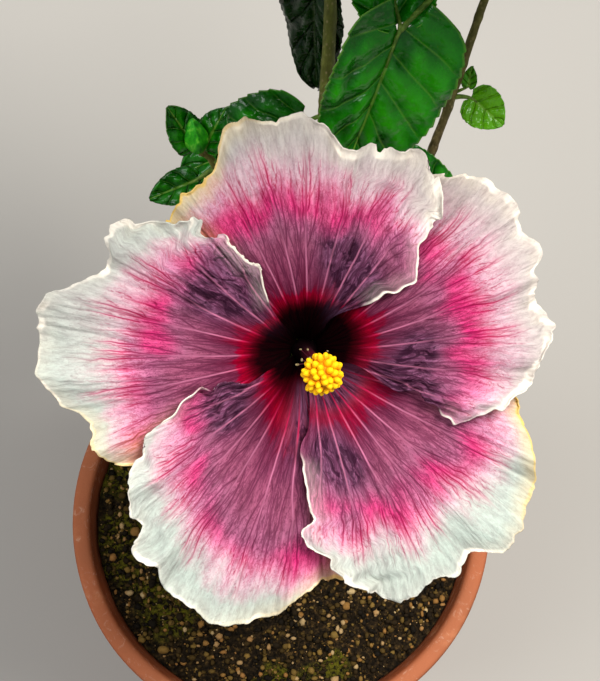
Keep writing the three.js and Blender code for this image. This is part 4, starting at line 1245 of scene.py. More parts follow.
def build_bud(finish):
    """A pointed bud wrapped in five ribbed lobes, on the left shoot's tip."""
    route = Route([BUD["base"], np.add(BUD["base"], BUD["tip"]) / 2, BUD["tip"]])
    shape = tube_shape(40, 36)

    def radius(along):
        belly = np.sin(math.pi * np.minimum(along * 0.9 + 0.1, 1)) ** 0.8
        return BUD["radius"] * belly * (1 - 0.25 * along) + 0.2

    def ribs(along, turn):
        lobes = np.abs(np.cos(2.5 * turn)) ** 3
        return 0.9 * lobes * np.sin(math.pi * along) ** 0.7 + 0.12 * np.cos(15 * turn) * (1 - along)

    bud = Gathering()
    bud.add(shape, bend_tube(shape, route, radius, relief=ribs)[0])
    bud.add_piece("bud", "green_stalk", ["foliage_left"], finish)


# Bloom
BLOOM = {
    "base": (11.7, 36.6, 393.9), "axis": (0.069, -0.344, 0.937), "claw_radius": 4.6, "depth": 54,
    "flare": 17, "recurve_from": 58, "recurve": 0.0022, "overlap_at_claw": 1.9,
    "overlap_at_margin": 7, "ruffle": 2.3, "claw_half_angle": 38, "half_angle": 46,
    "edge_from": 15, "edge_step": 11,
}
# margin, edge, waves and phase shape a petal as in the frame. Lists run at even steps from the
# petal's hidden edge to its free edge, and the colours change at these distances from the axis.
# The black round the throat is partly the petal's dark eye and partly painted shade down in the
# funnel, so it reaches further out on the upper petals.
# A fold is (place across, distance out, width, height), a shade (place across, distance out,
# reach across, reach out): a dark patch, partly the petal's own dark purple and partly painted
# shade. warm is how aged the margin is, roll how far it rolls in, bleach how green white the
# outer part is, and tone how light the whole petal is drawn, as painted light and shade.
PETALS = {
    "petal_top": {
        "heading": 93, "waves": 5.2, "phase": 0.6,
        "margin": (69, 76, 78, 78, 82, 89, 91, 91, 89, 85.5, 79, 81, 83, 85, 81, 74, 65),
        "edge": (22, 3, -2, -4, -1, 0),
        "black_to": (16, 18, 19, 21, 22), "crimson_to": (22, 25, 26, 26, 26),
        "pink_from": (48, 54, 52, 53, 56), "pink_to": (68, 74, 72, 68, 64), "pink": (1, 1, 0.9, 0.9, 0.3),
        "folds": [(0.55, 36, 2.4, 2.2), (0.74, 46, 3, 2.6), (0.36, 42, 2.2, 1.2), (0.9, 62, 3, 2.2)],
        "shade": [(0.6, 37, 0.3, 9), (0.84, 28, 0.3, 8), (0.35, 42, 0.2, 6)],
        "warm": (1, 0.75, 0, 0, 0), "rim_from": 27, "tone": 0.86,
        "roll": (0, 0.5, 2, 3.2, 2.4), "bleach": (0.5, 0.4, 0.2, 0.1, 0),
    },
    "petal_right": {
        "heading": 21, "waves": 4.6, "phase": 2.1,
        "margin": (67.5, 75, 81, 90, 92.5, 93.5, 93, 94.5, 87.5, 85, 87.5, 87, 82, 79, 74, 68, 58.5),
        "edge": (24, 9, 8, 6, 4, 5),
        "black_to": (17, 18, 17, 15, 15), "crimson_to": (24, 26, 27, 25, 22),
        "pink_from": (46, 50, 50, 52, 50), "pink_to": (68, 72, 72, 70, 62), "pink": (0.7, 0.8, 1, 0.9, 0.4),
        "folds": [(0.6, 38, 3, 2.4), (0.8, 48, 2.6, 2.4), (0.42, 34, 2.4, 1.6), (0.7, 58, 3, 2)],
        "shade": [(0.66, 35, 0.26, 9), (0.86, 44, 0.17, 8), (0.3, 40, 0.2, 7)],
        "warm": (0.2, 0, 0, 0, 0), "rim_from": 48, "tone": 0.8,
        "roll": (1, 2, 2.6, 2.2, 1.4), "bleach": (0, 0, 0.1, 0.2, 0.4),
    },
    "petal_lower_right": {
        "heading": -51, "waves": 4.2, "phase": 3.4,
        "margin": (
            69.5, 75.5, 80.5, 88.5, 94.5, 98, 99.5, 98.5, 92, 96, 92.5, 93.5, 93.5, 88.5, 81.5, 73, 63),
        "edge": (7, 4, -1, 4, 2, 6),
        "black_to": (12, 8, 7, 8, 10), "crimson_to": (27, 27, 27, 26, 24),
        "pink_from": (58, 60, 58, 56, 54), "pink_to": (76, 78, 76, 73, 68), "pink": (1, 1, 0.9, 1, 0.6),
        "folds": [(0.72, 38, 2.4, 2.0), (0.5, 46, 3, 1.4), (0.86, 52, 2.6, 1.8)],
        "shade": [(0.0, 16.5, 0.95, 5), (0.66, 36, 0.24, 8), (0.46, 42, 0.18, 7)],
        "warm": (1, 0.7, 0, 0, 0), "rim_from": 34, "tone": 0.9,
        "roll": (0, 0, 0.4, 0.6, 1), "bleach": (0.8, 0.9, 1, 0.9, 0.6),
    },
    "petal_lower_left": {
        "heading": -123, "waves": 4.8, "phase": 5.0,
        "margin": (76.5, 83, 82.5, 87.5, 96.5, 102, 102, 101, 99.5, 94, 94.5, 88.5, 86.5, 81, 74, 63, 46),
        "edge": (5, 9, 2, 4, 5, 6),
        "black_to": (8, 8, 10, 14, 15), "crimson_to": (35, 32, 28, 23, 21),
        "pink_from": (68, 70, 66, 50, 44), "pink_to": (84, 88, 82, 70, 58), "pink": (1, 1, 0.7, 1, 0.6),
        "folds": [(0.86, 36, 2.4, 2.4), (0.66, 40, 3, 1.8), (0.5, 74, 3, 1.8)],
        "shade": [(0.82, 36, 0.2, 8), (0.6, 38, 0.22, 7), (-0.62, 25, 0.3, 13)],
        "warm": (1, 0.3, 0, 0, 0), "rim_from": 46, "tone": 0.9,
        "roll": (0, 0, 0.3, 0.6, 1.2), "bleach": (0.7, 0.9, 1, 0.8, 0.6),
    },
    "petal_upper_left": {
        "heading": 165, "waves": 5.0, "phase": 1.3,
        "margin": (72, 82, 84.5, 85, 96, 101, 102, 101, 99.5, 87, 84, 87, 86, 76, 71, 65, 55),
        "edge": (12, 8, 3, 4, 5, 3),
        "black_to": (17, 19, 19, 18, 17), "crimson_to": (26, 28, 28, 25, 22),
        "pink_from": (62, 60, 56, 52, 52), "pink_to": (84, 78, 74, 72, 62), "pink": (0.9, 0.8, 1, 0.9, 0.3),
        "folds": [(0.7, 40, 3, 2.6), (0.52, 48, 3, 1.6), (0.86, 52, 2.6, 2.2), (0.6, 62, 3, 1.6)],
        "shade": [(0.66, 38, 0.3, 12), (0.85, 48, 0.18, 9), (0.4, 46, 0.2, 9)],
        "warm": (0.8, 0.2, 0, 0, 0), "rim_from": 24, "tone": 0.95,
        "roll": (0.6, 0.2, 1, 2, 2.6), "bleach": (0.9, 0.9, 0.6, 0.7, 1),
    },
}
PETAL_GRID = (340, 128)
CURL = {"reach": 1.6, "turn": 1.7}
MAIN_VEINS = 7
BRANCHES = (
    {"starts": (0.1, 0.27, 0.43, 0.55), "soon": 0.1, "lasts": 0.42, "spread": (1.2, 2.2)},
    {"starts": (0.04, 0.15, 0.28), "soon": 0.07, "lasts": 0.17, "spread": (2.6, 5)},
)
VEIN_RANKS = ((0.5, 0.85), (0.45, 1.0), (0.38, 0.9))


def bloom_place():
    """From the bloom's own frame, with Z along its axis, to the part's frame, in millimetres."""
    axis = Vector(BLOOM["axis"]).normalized()
    right = (Vector((1, 0, 0)) - axis.x * axis).normalized()
    turned = Matrix((right, axis.cross(right), axis)).transposed()
    return lambda points: np.asarray(points) @ np.array(turned).T + np.array(BLOOM["base"])


def funnel_height(out):
    opened = BLOOM["depth"] * (1 - np.exp(-(out - BLOOM["claw_radius"]) / BLOOM["flare"]))
    return opened - BLOOM["recurve"] * np.maximum(out - BLOOM["recurve_from"], 0) ** 2


def vein_paths(rng, rows):
    """Where each vein runs across a petal at every row, where it starts and stops, and its rank.

    A vein keeps a strip of the petal to itself and sends branches out to fill it on both sides,
    the first of them furthest.
    """
    v = np.linspace(0, 1, rows + 1)
    kinks = np.linspace(0, 1, 26)
    paths, spans, ranks = [], [], []

    def grow(path, start, stop, strip, rank):
        bends = np.interp(v, kinks, rng.normal(0, 0.002 + 0.001 * rank, len(kinks)))
        path = path + bends * smooth(v, start, start + 0.08) * smooth(v, 0.2, 0.5)
        paths.append(path)
        spans.append((start, stop))
        ranks.append(rank)
        if rank == len(BRANCHES):
            return
        kind = BRANCHES[rank]
        count = len(kind["starts"])
        for side in (-1, 1):
            for k, after in enumerate(kind["starts"]):
                share = 1 - (k + 0.5) / count if count > 1 else 0.55
                begin = start + after + 0.06 * (side > 0) + rng.uniform(-0.04, 0.04)
                if begin > stop:
                    continue
                reach = side * strip * share * rng.uniform(*kind["spread"])
                soon = kind["soon"] * (0.6 + share)
                branch = path + reach * (1 - np.exp(-np.maximum(v - begin, 0) / soon))
                end = begin + kind["lasts"] * rng.uniform(0.7, 1.3)
                grow(branch, begin, end, strip / (2 * count), rank + 1)

    for i in range(MAIN_VEINS):
        middle = -1 + (2 * i + 1) / MAIN_VEINS + rng.uniform(-0.03, 0.03)
        grow(middle * (0.8 + 0.2 * v), -0.1, 1.1, 1 / MAIN_VEINS, 0)
    return np.array(paths), np.array(spans).T, np.array(ranks)


def vein_fields(veins, across, mm_across):
    """Where the veins of each rank run, as fields that are even between points.

    A phase passes a whole number at every vein, a gap is the distance between veins there in
    millimetres, and alive tells how far the nearest one has grown.
    """
    paths, (starts, stops), ranks = veins
    rows = len(mm_across)
    fields = []
    for rank, (_, strength) in enumerate(VEIN_RANKS):
        phase, gap, alive = (np.zeros_like(mm_across) for _ in range(3))
        here = ranks == rank
        for row in range(rows):
            v = row / (rows - 1)
            order = np.argsort(paths[here, row])
            places = paths[here, row][order]
            begun, ended = starts[here][order], stops[here][order]
            grown = smooth(v, begun, begun + 0.02) * (1 - smooth(v, lerp(begun, ended, 0.55), ended))
            places = np.concatenate([[-2.0], places, [2.0]])
            grown = np.concatenate([[0], grown, [0]]) * strength * (1 - 0.4 * smooth(v, 0.82, 0.99))
            after = np.clip(np.searchsorted(places, across[row]), 1, len(places) - 1)
            between = places[after] - places[after - 1]
            share = (across[row] - places[after - 1]) / np.maximum(between, 1e-5)
            phase[row] = after - 1 + share
            gap[row] = between * mm_across[row]
            alive[row] = np.where(share > 0.5, grown[after], grown[after - 1])
        fields.append((phase, gap, alive))
    return fields


def vein_line(field, width):
    phase, gap, alive = field
    return alive * np.exp(-((np.abs(phase - np.round(phase)) * gap / width) ** 2))


class PetalPlan:
    """Where each point of a petal lies on it: across and along, out from the axis, and from its edges."""

    def __init__(self, petal, seed):
        columns, rows = PETAL_GRID
        self.petal, self.seed = petal, seed
        self.across = across = np.linspace(-1, 1, columns + 1)[None, :]
        self.along = along = np.linspace(0, 1, rows + 1)[:, None] ** 0.88
        claw = BLOOM["claw_radius"]
        scallop = 1.4 * self.noise(1, across * 8) + 0.8 * self.noise(2, across * 23)
        scallop = scallop + 0.4 * self.noise(23, across * 47)
        self.length = self.listed("margin") + scallop + 0.6
        self.out = out = claw + along * (self.length - claw)
        opening = smooth(out, claw, 26)
        steps = BLOOM["edge_step"] * (len(petal["edge"]) - 1)
        drawn_in = through(petal["edge"], (out - BLOOM["edge_from"]) / steps)
        jagged = 3.4 * self.noise(3, out / 8) + 1.7 * self.noise(13, out / 3.4)
        drawn_in = drawn_in + jagged * smooth(out, 24, 40)
        cut_half = np.where(across > 0, BLOOM["half_angle"] - drawn_in, BLOOM["half_angle"] + 1)
        half = lerp(BLOOM["claw_half_angle"], cut_half, opening)
        plain_half = lerp(BLOOM["claw_half_angle"], BLOOM["half_angle"], opening)
        self.offset = across * half
        self.mm_across = out * np.radians(half)
        self.straight = self.offset / plain_half
        plain_mm = out * np.radians(plain_half)
        self.beside = beside = across * 70 + 400

        waver = 2.0 * self.noise(14, beside / 20, out / 18) + 0.12 * self.noise(15, beside / 3.2, out / 3.4)
        self.wavy = self.straight + waver * smooth(along, 0.42, 0.75) / plain_mm
        self.veins = vein_fields(vein_paths(np.random.default_rng(seed), rows), self.wavy, plain_mm)
        lines = [vein_line(field, 0.35) for field in self.veins]
        self.main_veins = lines[0]
        self.all_veins = np.maximum(np.maximum(lines[0], lines[1]), lines[2])
        self.near_veins = np.maximum(vein_line(self.veins[0], 1.2), vein_line(self.veins[1], 1.2))

        self.to_margin = (1 - along) * (self.length - claw)
        self.to_hidden_edge = (1 + across) * self.mm_across
        self.edge_gap = (1 - across) * self.mm_across + 14 * (1 - smooth(out, 18, 30))
        self.rim_gap = np.minimum(self.to_margin, self.edge_gap)
        self.shade = sum(
            np.exp(-(((self.straight - at) / wide) ** 2) - ((out - radius) / deep) ** 2)
            for at, radius, wide, deep in petal["shade"])

    def noise(self, which, *place):
        return noise(*place, seed=self.seed + which - 1)

    def ridges(self, which, *place):
        """Noise with sharp crests, from -1 to 1."""
        return 1 - 2 * np.abs(self.noise(which, *place)) ** 0.8

    def listed(self, name):
        """A petal's list of values, as a smooth value at each column."""
        return through(self.petal[name], (self.across + 1) / 2)


def bend_petal(plan):
    """The petal's points in the bloom's frame, and how high its creases, folds and puckers stand."""
    petal, across, along, out, beside = plan.petal, plan.across, plan.along, plan.out, plan.beside
    frill = 2.3 * plan.noise(4, beside / 8, out / 40) + 0.9 * plan.noise(5, beside / 3.6, out / 30)
    frill = frill * smooth(plan.rim_gap, 15, 0)
    puckers = 0.8 * plan.noise(6, across * 15, out / 11) * smooth(along, 0.25, 0.5)
    puckers = puckers * (1 - 0.6 * smooth(along, 0.6, 0.8))
    pleats = 0.15 * plan.ridges(7, plan.straight * 24, out / 26)
    pleats = pleats + 0.09 * plan.ridges(16, plan.straight * 52, out / 15)
    creases = 0.1 * plan.ridges(20, beside / 6, out / 5) - 2 * pleats * smooth(along, 0.4, 0.8)
    in_shade = np.minimum(plan.shade, 1) * smooth(out, 26, 34)
    creases = creases * smooth(along, 0.2, 0.5) * (1 + 3.5 * in_shade)
    folds = sum(
        height * np.exp(-(((plan.wavy - at) * plan.mm_across / width) ** 2) - ((out - radius) / 12) ** 2)
        for at, radius, width, height in petal["folds"])
    grooves = -0.1 * plan.main_veins * smooth(along, 0.12, 0.3) - 0.12 * plan.all_veins

    step = 0.5
    slope = (funnel_height(out + step) - funnel_height(out - step)) / (2 * step)
    steep = np.hypot(1, slope)
    overlap = lerp(BLOOM["overlap_at_claw"], BLOOM["overlap_at_margin"], smooth(out, 8, 70))
    wave = np.sin(math.pi * petal["waves"] * across + petal["phase"]) * smooth(along, 0.5, 1)
    edge_lift = (0.8 + 0.9 * plan.noise(8, beside / 9, out / 9)) * smooth(plan.edge_gap, 3, 0)
    lift = overlap * plan.offset / 72 + BLOOM["ruffle"] * wave + edge_lift
    lift = lift + frill + puckers + creases + folds + grooves

    turn_of_curl = CURL["turn"] * np.clip(0.35 + 0.9 * plan.noise(17, beside / 11), 0.05, 1.1)
    reach = CURL["reach"] + plan.listed("roll")
    rolled = np.clip(1 - plan.to_margin / reach, 0, 1)
    curl_radius = reach / np.maximum(turn_of_curl, 0.15)
    angle = rolled * turn_of_curl
    lift = lift + curl_radius * (1 - np.cos(angle))
    rolled_out = np.where(rolled > 0, curl_radius * np.sin(angle) - rolled * reach, 0)
    turn = np.radians(petal["heading"] - plan.offset)
    radial = out + rolled_out - lift * slope / steep
    height = funnel_height(out) + lift / steep
    points = np.stack([radial * np.cos(turn), radial * np.sin(turn), height], -1)
    return points, creases, folds, puckers


def colour_petal(plan, creases, folds, puckers):
    """The values that the petal's material reads, row by row."""
    along, out, beside = plan.along, plan.out, plan.beside
    streak = plan.noise(9, plan.wavy * 38, out / 15)
    flame = plan.noise(18, plan.wavy * 17, out / 30)
    patchy = plan.noise(10, plan.straight * 5, out / 13)
    black_to, crimson_to = plan.listed("black_to"), plan.listed("crimson_to")
    pink_from, pink_to = plan.listed("pink_from"), plan.listed("pink_to")
    near_margin = np.maximum(plan.length - 3, pink_to + 5)
    inner = out + 1.3 * streak * smooth(out, 10, 24) + 1.0 * flame - 0.6 * plan.main_veins
    feathered = out + 0.8 * streak + 2.2 * flame + 4 * patchy - 1.5 * plan.near_veins
    marks = [
        (inner, black_to - 6, black_to), (inner, black_to, crimson_to), (feathered, crimson_to, pink_from),
        (feathered, pink_from, pink_to), (feathered, pink_to, near_margin),
    ]
    zone = 0.2 * sum(np.clip((at - low) / (high - low), 0, 1) for at, low, high in marks)

    rising = smooth(feathered, pink_from - 8, pink_from + 4)
    falling = 1 - smooth(feathered, pink_to - 16, pink_to + 1)
    patches = smooth(plan.noise(19, plan.straight * 6, out / 10) + 0.5 * patchy, -0.7, 0.45)
    blush = rising * falling * (0.2 + 0.8 * patches) * (0.78 + 0.15 * plan.near_veins)
    past_band = 1 - smooth(out + 3 * flame, pink_to - 4, pink_to + 12)
    tail = rising * past_band * plan.near_veins * 0.3

    slate = np.minimum(1.5 * plan.shade, 1) * smooth(out, 9, 13)
    wrinkled = plan.ridges(11, plan.wavy * 17 + out / 14, out / 8)
    wrinkled = wrinkled + 0.5 * plan.ridges(22, plan.wavy * 40, out / 5)
    wash = np.maximum(smooth(plan.to_hidden_edge, 18, 5), 0.8 * smooth(plan.to_margin, 10, 1))
    old_edge = np.maximum(0.5 * wash, 0.95 * smooth(plan.to_margin, 2.4, 0.8))
    wide = 0.8 + 1.1 * plan.noise(21, beside / 9) + 0.9 * plan.listed("roll")
    rim_from = smooth(out, plan.petal["rim_from"], plan.petal["rim_from"] + 8)
    along_margin = smooth(plan.to_margin, wide + 0.9, wide - 0.4) * (0.6 + 0.7 * plan.noise(24, beside / 3))
    rim = np.maximum(along_margin, smooth(plan.edge_gap, 1.1, 0.4) * rim_from)
    calmer = 1 - 0.8 * smooth(along, 0.58, 0.8)
    # Painted light and shade: the crests of creases, folds and puckers are drawn lighter and their hollows
    # darker, and the petal's tone makes the whole petal lighter or darker.
    light = 0.62 + 0.9 * creases * calmer + 0.14 * folds + 0.08 * puckers * calmer
    values = {
        "zone": zone,
        "pink": np.clip(plan.listed("pink") * np.maximum(blush, tail), 0, 1),
        "slate": slate,
        # The shade value is partly the petal's own dark purple and partly painted shade along the wrinkles'
        # creases.
        "shade": np.clip(0.4 * slate**3 + slate * smooth(wrinkled, 0.3, 0.95), 0, 1),
        "rim": np.clip(rim, 0, 1),
        "bleach": plan.listed("bleach"),
        "margin": smooth(plan.rim_gap, 9, 1) * rim_from,
        "warm": np.clip(plan.listed("warm") * old_edge * smooth(out, 42, 60), 0, 1),
        "light": np.clip(light, 0, 1) * plan.petal["tone"],
    }
    for rank, (phase, gap, alive) in enumerate(plan.veins):
        values |= {f"phase_{rank}": phase, f"gap_{rank}": gap, f"alive_{rank}": alive}
    return values


def petal_net(petal):
    """The finest veins, as the edges of small cells drawn out along the petal."""
    wander = petal.node("TexNoise")
    bent = petal.node("VectorMath", operation="MULTIPLY_ADD")
    petal.feed(wander.inputs["Vector"], petal.place((40, 14, 1), "UV"))
    petal.feed(bent.inputs[0], wander.outputs["Color"])
    bent.inputs[1].default_value = (1.6, 1.2, 0)
    petal.feed(bent.inputs[2], petal.place((72, 17, 1), "UV"))
    return petal.between(petal.cells(bent.outputs[0], 1, "DISTANCE_TO_EDGE"), 0.0, 0.1, 1, 0)


def petal_finish(settings, front):
    """The bloom's colours by zone, with the veins, the feathered band, the folds and the rim.

    Painted light and shade lie over the creases, folds and wrinkles.
    """
    petal = Finish("petal_front" if front else "petal_back", roughness=0.7, specular_ior_level=0.03)

    def drawn_out(across, along, **values):
        """Noise by the petal's UV map, drawn out along it."""
        return petal.grain(petal.place((across, along, 1), "UV"), 1, **values)

    zone, slate = petal.value("zone"), petal.value("slate")
    streaks = drawn_out(90, 9, detail=5, rough=0.65, warp=0.4)
    shifted = petal.maths("ADD", zone, petal.between(streaks, 0.2, 0.8, -0.018, 0.018))
    # The black at the start of the ramp is partly the throat's own colour and partly painted shade.
    ground = petal.ramp(
        shifted, (0.0, paint(2, 0, 0)), (0.18, settings.throat), (0.26, paint(78, 0, 14)),
        (0.35, settings.crimson), (0.395, paint(158, 2, 50)), (0.415, paint(126, 46, 78)),
        (0.52, settings.plum), (0.6, paint(192, 116, 150)), (0.68, paint(230, 160, 192)),
        (0.77, paint(240, 204, 214)), (0.86, settings.pale), (0.95, paint(228, 216, 208)),
        (1.0, settings.ivory))
    lilac = petal.mix(petal.times(slate, 0.6), ground, paint(144, 102, 138))
    outer = petal.times(petal.value("bleach"), petal.between(zone, 0.74, 0.88, 0, 0.9))
    bleached = petal.mix(outer, lilac, paint(206, 224, 208))
    pink = petal.mix(petal.value("pink"), bleached, settings.pink)

    hair = petal.between(drawn_out(150, 40, detail=6, rough=0.75, warp=1.6), 0.54, 0.68)
    faint = petal.most(hair, petal.times(petal_net(petal), 1.5))
    faint = petal.times(faint, petal.between(zone, 0.6, 0.8, 0.62, 0.28))
    lines = [petal.vein(rank, width) for rank, (width, _) in enumerate(VEIN_RANKS)]
    line_colour = petal.ramp(
        zone, (0.2, paint(40, 0, 8)), (0.38, paint(104, 0, 28)), (0.45, paint(72, 14, 48)),
        (0.6, paint(98, 10, 58)), (0.72, paint(184, 2, 72)), (0.83, paint(184, 48, 102)),
        (0.92, paint(140, 122, 120)))
    darkness = ((0.3, 0.5), (0.43, 0.64), (0.56, 0.72), (0.7, 0.95), (0.8, 0.8), (0.88, 0.5), (1.0, 0.4))
    strength = petal.ramp(zone, *[(at, (level,) * 3) for at, level in darkness])
    netted = petal.mix(petal.times(petal.most(faint, *lines), strength), pink, line_colour)

    # The dark patches: partly the petal's own dark purple, partly painted shade in their creases.
    crease_shadow_marks = petal.between(drawn_out(16, 10, detail=6, rough=0.62, warp=1.0), 0.5, 0.56)
    patch_shade = petal.times(slate, petal.maths("MULTIPLY_ADD", crease_shadow_marks, 0.62, 0.22))
    patch_shade = petal.most(patch_shade, petal.times(petal.value("shade"), 0.6))
    shaded = petal.mix(patch_shade, netted, paint(40, 10, 32))
    pale_line = petal.ramp(
        zone, (0.24, paint(110, 0, 24)), (0.36, paint(232, 40, 96)),
        (0.43, paint(236, 140, 176)), (0.64, paint(232, 146, 180)))
    shown = petal.times(petal.between(zone, 0.44, 0.66, 0.66, 0.0), petal.between(zone, 0.2, 0.34))
    fading = petal.times(petal.between(petal.vein(0, 0.44), 0, 0.85), shown, clamp=True)
    ribbed = petal.mix(fading, shaded, pale_line)

    light = petal.mix(petal.times(petal.value("margin"), 0.22), ribbed, paint(236, 224, 212))
    # Painted light and shade of the creases and folds, none in the throat.
    depth = petal.ramp(
        petal.value("light"), (0.0, (0.2, 0.14, 0.17)), (0.5, (0.7, 0.68, 0.69)), (0.8, (1.0, 1.0, 1.0)))
    crease_shaded = petal.mix(petal.between(zone, 0.3, 0.5), light, petal.mix(1.0, light, depth, "MULTIPLY"))
    # Painted shade along fine radial wrinkles.
    wrinkle_shade = petal.between(drawn_out(110, 12, detail=4, rough=0.6, warp=0.25), 0.42, 0.62)
    wrinkle_dimmed = petal.mix(1.0, crease_shaded, paint(196, 182, 188), "MULTIPLY")
    crease_shaded = petal.mix(petal.times(wrinkle_shade, 0.35), crease_shaded, wrinkle_dimmed)
    covered = crease_shaded if front else petal.mix(0.45, crease_shaded, paint(226, 196, 204))
    rimmed = petal.mix(petal.value("rim"), covered, settings.ivory)
    petal.colour(petal.mix(petal.value("warm"), rimmed, settings.ochre))
    petal.bump(hair, 0.2, 0.6)
    petal.bump(drawn_out(84, 11, detail=5, rough=0.65, warp=0.3), 1.2, 0.5)
    return petal.material


def build_petals(settings):
    to_part = bloom_place()
    front, back = petal_finish(settings, True), petal_finish(settings, False)
    for i, (name, petal) in enumerate(PETALS.items()):
        plan = PetalPlan(petal, 100 + 20 * i)
        points, *relief = bend_petal(plan)
        mesh, column, row = flat_grid(name, *PETAL_GRID)
        set_points(mesh, to_part(points[row, column]))
        for key, field in colour_petal(plan, *relief).items():
            store(mesh, key, np.broadcast_to(field, points.shape[:2])[row, column])
        piece = add_piece(f"{name}_skin", mesh, "petal", [name], front, back)
        give_thickness(piece, settings.thickness / MM, back_material=True)


# Column and head
COLUMN = {
    "length": 79, "base_radius": 2.7, "tip_radius": 1.7, "flare": 2.6,
    "stamens": 16, "from": 40, "to": 74,
}
HEAD = {"height": 85.5, "core": 5.3, "beads": 62, "lowest": -0.8}


def column_finish():
    column = Finish("column", roughness=0.5, specular_ior_level=0.35)
    streaks = column.grain(column.place((300, 300, 60)), 1, detail=3)
    base = column.ramp(
        column.value("along"), (0.0, paint(6, 0, 2)), (0.12, paint(30, 0, 8)),
        (0.5, paint(90, 6, 30)), (1.0, paint(190, 90, 110)))
    column.colour(column.mix(column.between(streaks, 0.4, 0.7, 0, 0.5), base, paint(40, 4, 20)))
    return column.material


def anther_finish():
    anther = Finish("anther", roughness=0.7, specular_ior_level=0.25)
    grains = anther.grain(anther.place(), 1800, detail=3)
    anther.colour(anther.ramp(grains, (0.35, paint(92, 74, 40)), (0.6, paint(150, 136, 96))))
    return anther.material


def pollen_finish(settings):
    pollen = Finish("pollen_bead", roughness=0.6, specular_ior_level=0.15, subsurface_weight=0.12,
                    subsurface_scale=0.8 * MM)
    grains = pollen.grain(pollen.place(), 2600, detail=4, rough=0.7)
    # Painted shade: each bead is orange on its side towards the head and the other beads, and yellow where it
    # faces out.
    low = pollen.ramp(
        pollen.value("rise"), (0.0, paint(206, 116, 0)), (0.45, paint(244, 168, 0)), (1.0, settings.pollen))
    pollen.colour(pollen.mix(pollen.between(grains, 0.35, 0.7, 0, 0.35), low, paint(255, 214, 20)))
    pollen.bump(grains, 0.16)
    return pollen.material


def column_radius(along):
    """The column's radius: a taper that flares where it joins the petals."""
    flare = COLUMN["flare"] * np.exp(-((along / 0.07) ** 2))
    return lerp(COLUMN["base_radius"], COLUMN["tip_radius"], along) + flare


def build_pistil(settings):
    to_part = bloom_place()
    rng = np.random.default_rng(17)
    tube, thread, ball = tube_shape(20, 60), tube_shape(5, 5), ball_shape(2)
    route = Route([(0, 0, -0.3), (0.5, 0.2, COLUMN["length"] / 2), (0, 0, COLUMN["length"] + 2)], even=True)
    column, anthers = Gathering("along"), Gathering()
    points, along = bend_tube(tube, route, column_radius)
    column.add(tube, to_part(points), along=along)
    for i in range(COLUMN["stamens"]):
        turn = i * GOLDEN_TURN + rng.uniform(-0.2, 0.2)
        height = lerp(COLUMN["from"], COLUMN["to"], i / (COLUMN["stamens"] - 1))
        reach = 6.8 - 1.6 * i / COLUMN["stamens"] + rng.uniform(-0.7, 0.7)
        outward = np.array([math.cos(turn), math.sin(turn), 0])
        end = outward * reach + [0, 0, height + 3 + rng.uniform(-0.8, 0.8)]
        line = Route([(0, 0, height), outward * reach / 2 + [0, 0, height + 0.8], end])
        points, along = bend_tube(thread, line, lambda at: 0.26 - 0.08 * at)
        column.add(thread, to_part(points), along=0.1 + 0.25 * along)
        turned = ball.points * rng.permuted([0.95, 0.7, 0.6]) * rng.uniform(0.55, 0.85)
        anthers.add(ball, to_part(turned + end))
    column.add_piece("staminal_tube", "column", ["staminal_column"], column_finish())
    anthers.add_piece("anthers", "pollen", [], anther_finish())

    beads = Gathering("rise")
    core = ball_shape(3)
    middle = np.array([0, 0, HEAD["height"]])
    beads.add(core, to_part(core.points * HEAD["core"] + middle), rise=0.0)
    for i in range(HEAD["beads"]):
        up = 1 - (i / (HEAD["beads"] - 1)) * (1 - HEAD["lowest"])
        side = math.sqrt(max(0, 1 - up * up))
        turn = i * GOLDEN_TURN
        outward = unit(np.array([side * math.cos(turn), side * math.sin(turn), up]) + rng.normal(0, 0.05, 3))
        width, tall = rng.uniform(1.1, 1.4), rng.uniform(1.8, 2.4)
        stretched = core.points * width + (core.points @ outward)[:, None] * outward * (tall - width)
        centre = middle + outward * (HEAD["core"] + rng.uniform(-0.2, 0.5))
        # rise marks the side of a bead that faces out, for the painted shade between the beads.
        rise = smooth((core.points @ outward), -0.3, 1)
        beads.add(core, to_part(centre + stretched), rise=rise)
    beads.add_piece("pollen_head", "pollen", ["anther_head"], pollen_finish(settings))


# Calyx and flower stalk
CALYX = {
    "top": -0.7, "length": 26, "foot_radius": 3, "rim_radius": 8.2,
    "lobes": {"count": 5, "length": 15, "half_width": 4.6, "lean": 0.42},
    "bracts": {"count": 7, "length": 11, "half_width": 1.3, "lean": 0.95},
}


def stalk_radius(along):
    """Wider at its foot and below the calyx, with a joint on the way."""
    foot = 0.55 * np.exp(-((along / 0.06) ** 2))
    joint = 0.5 * np.exp(-(((along - 0.62) / 0.025) ** 2))
    return 1.55 + 0.75 * smooth(along, 0.8, 1) + joint + foot


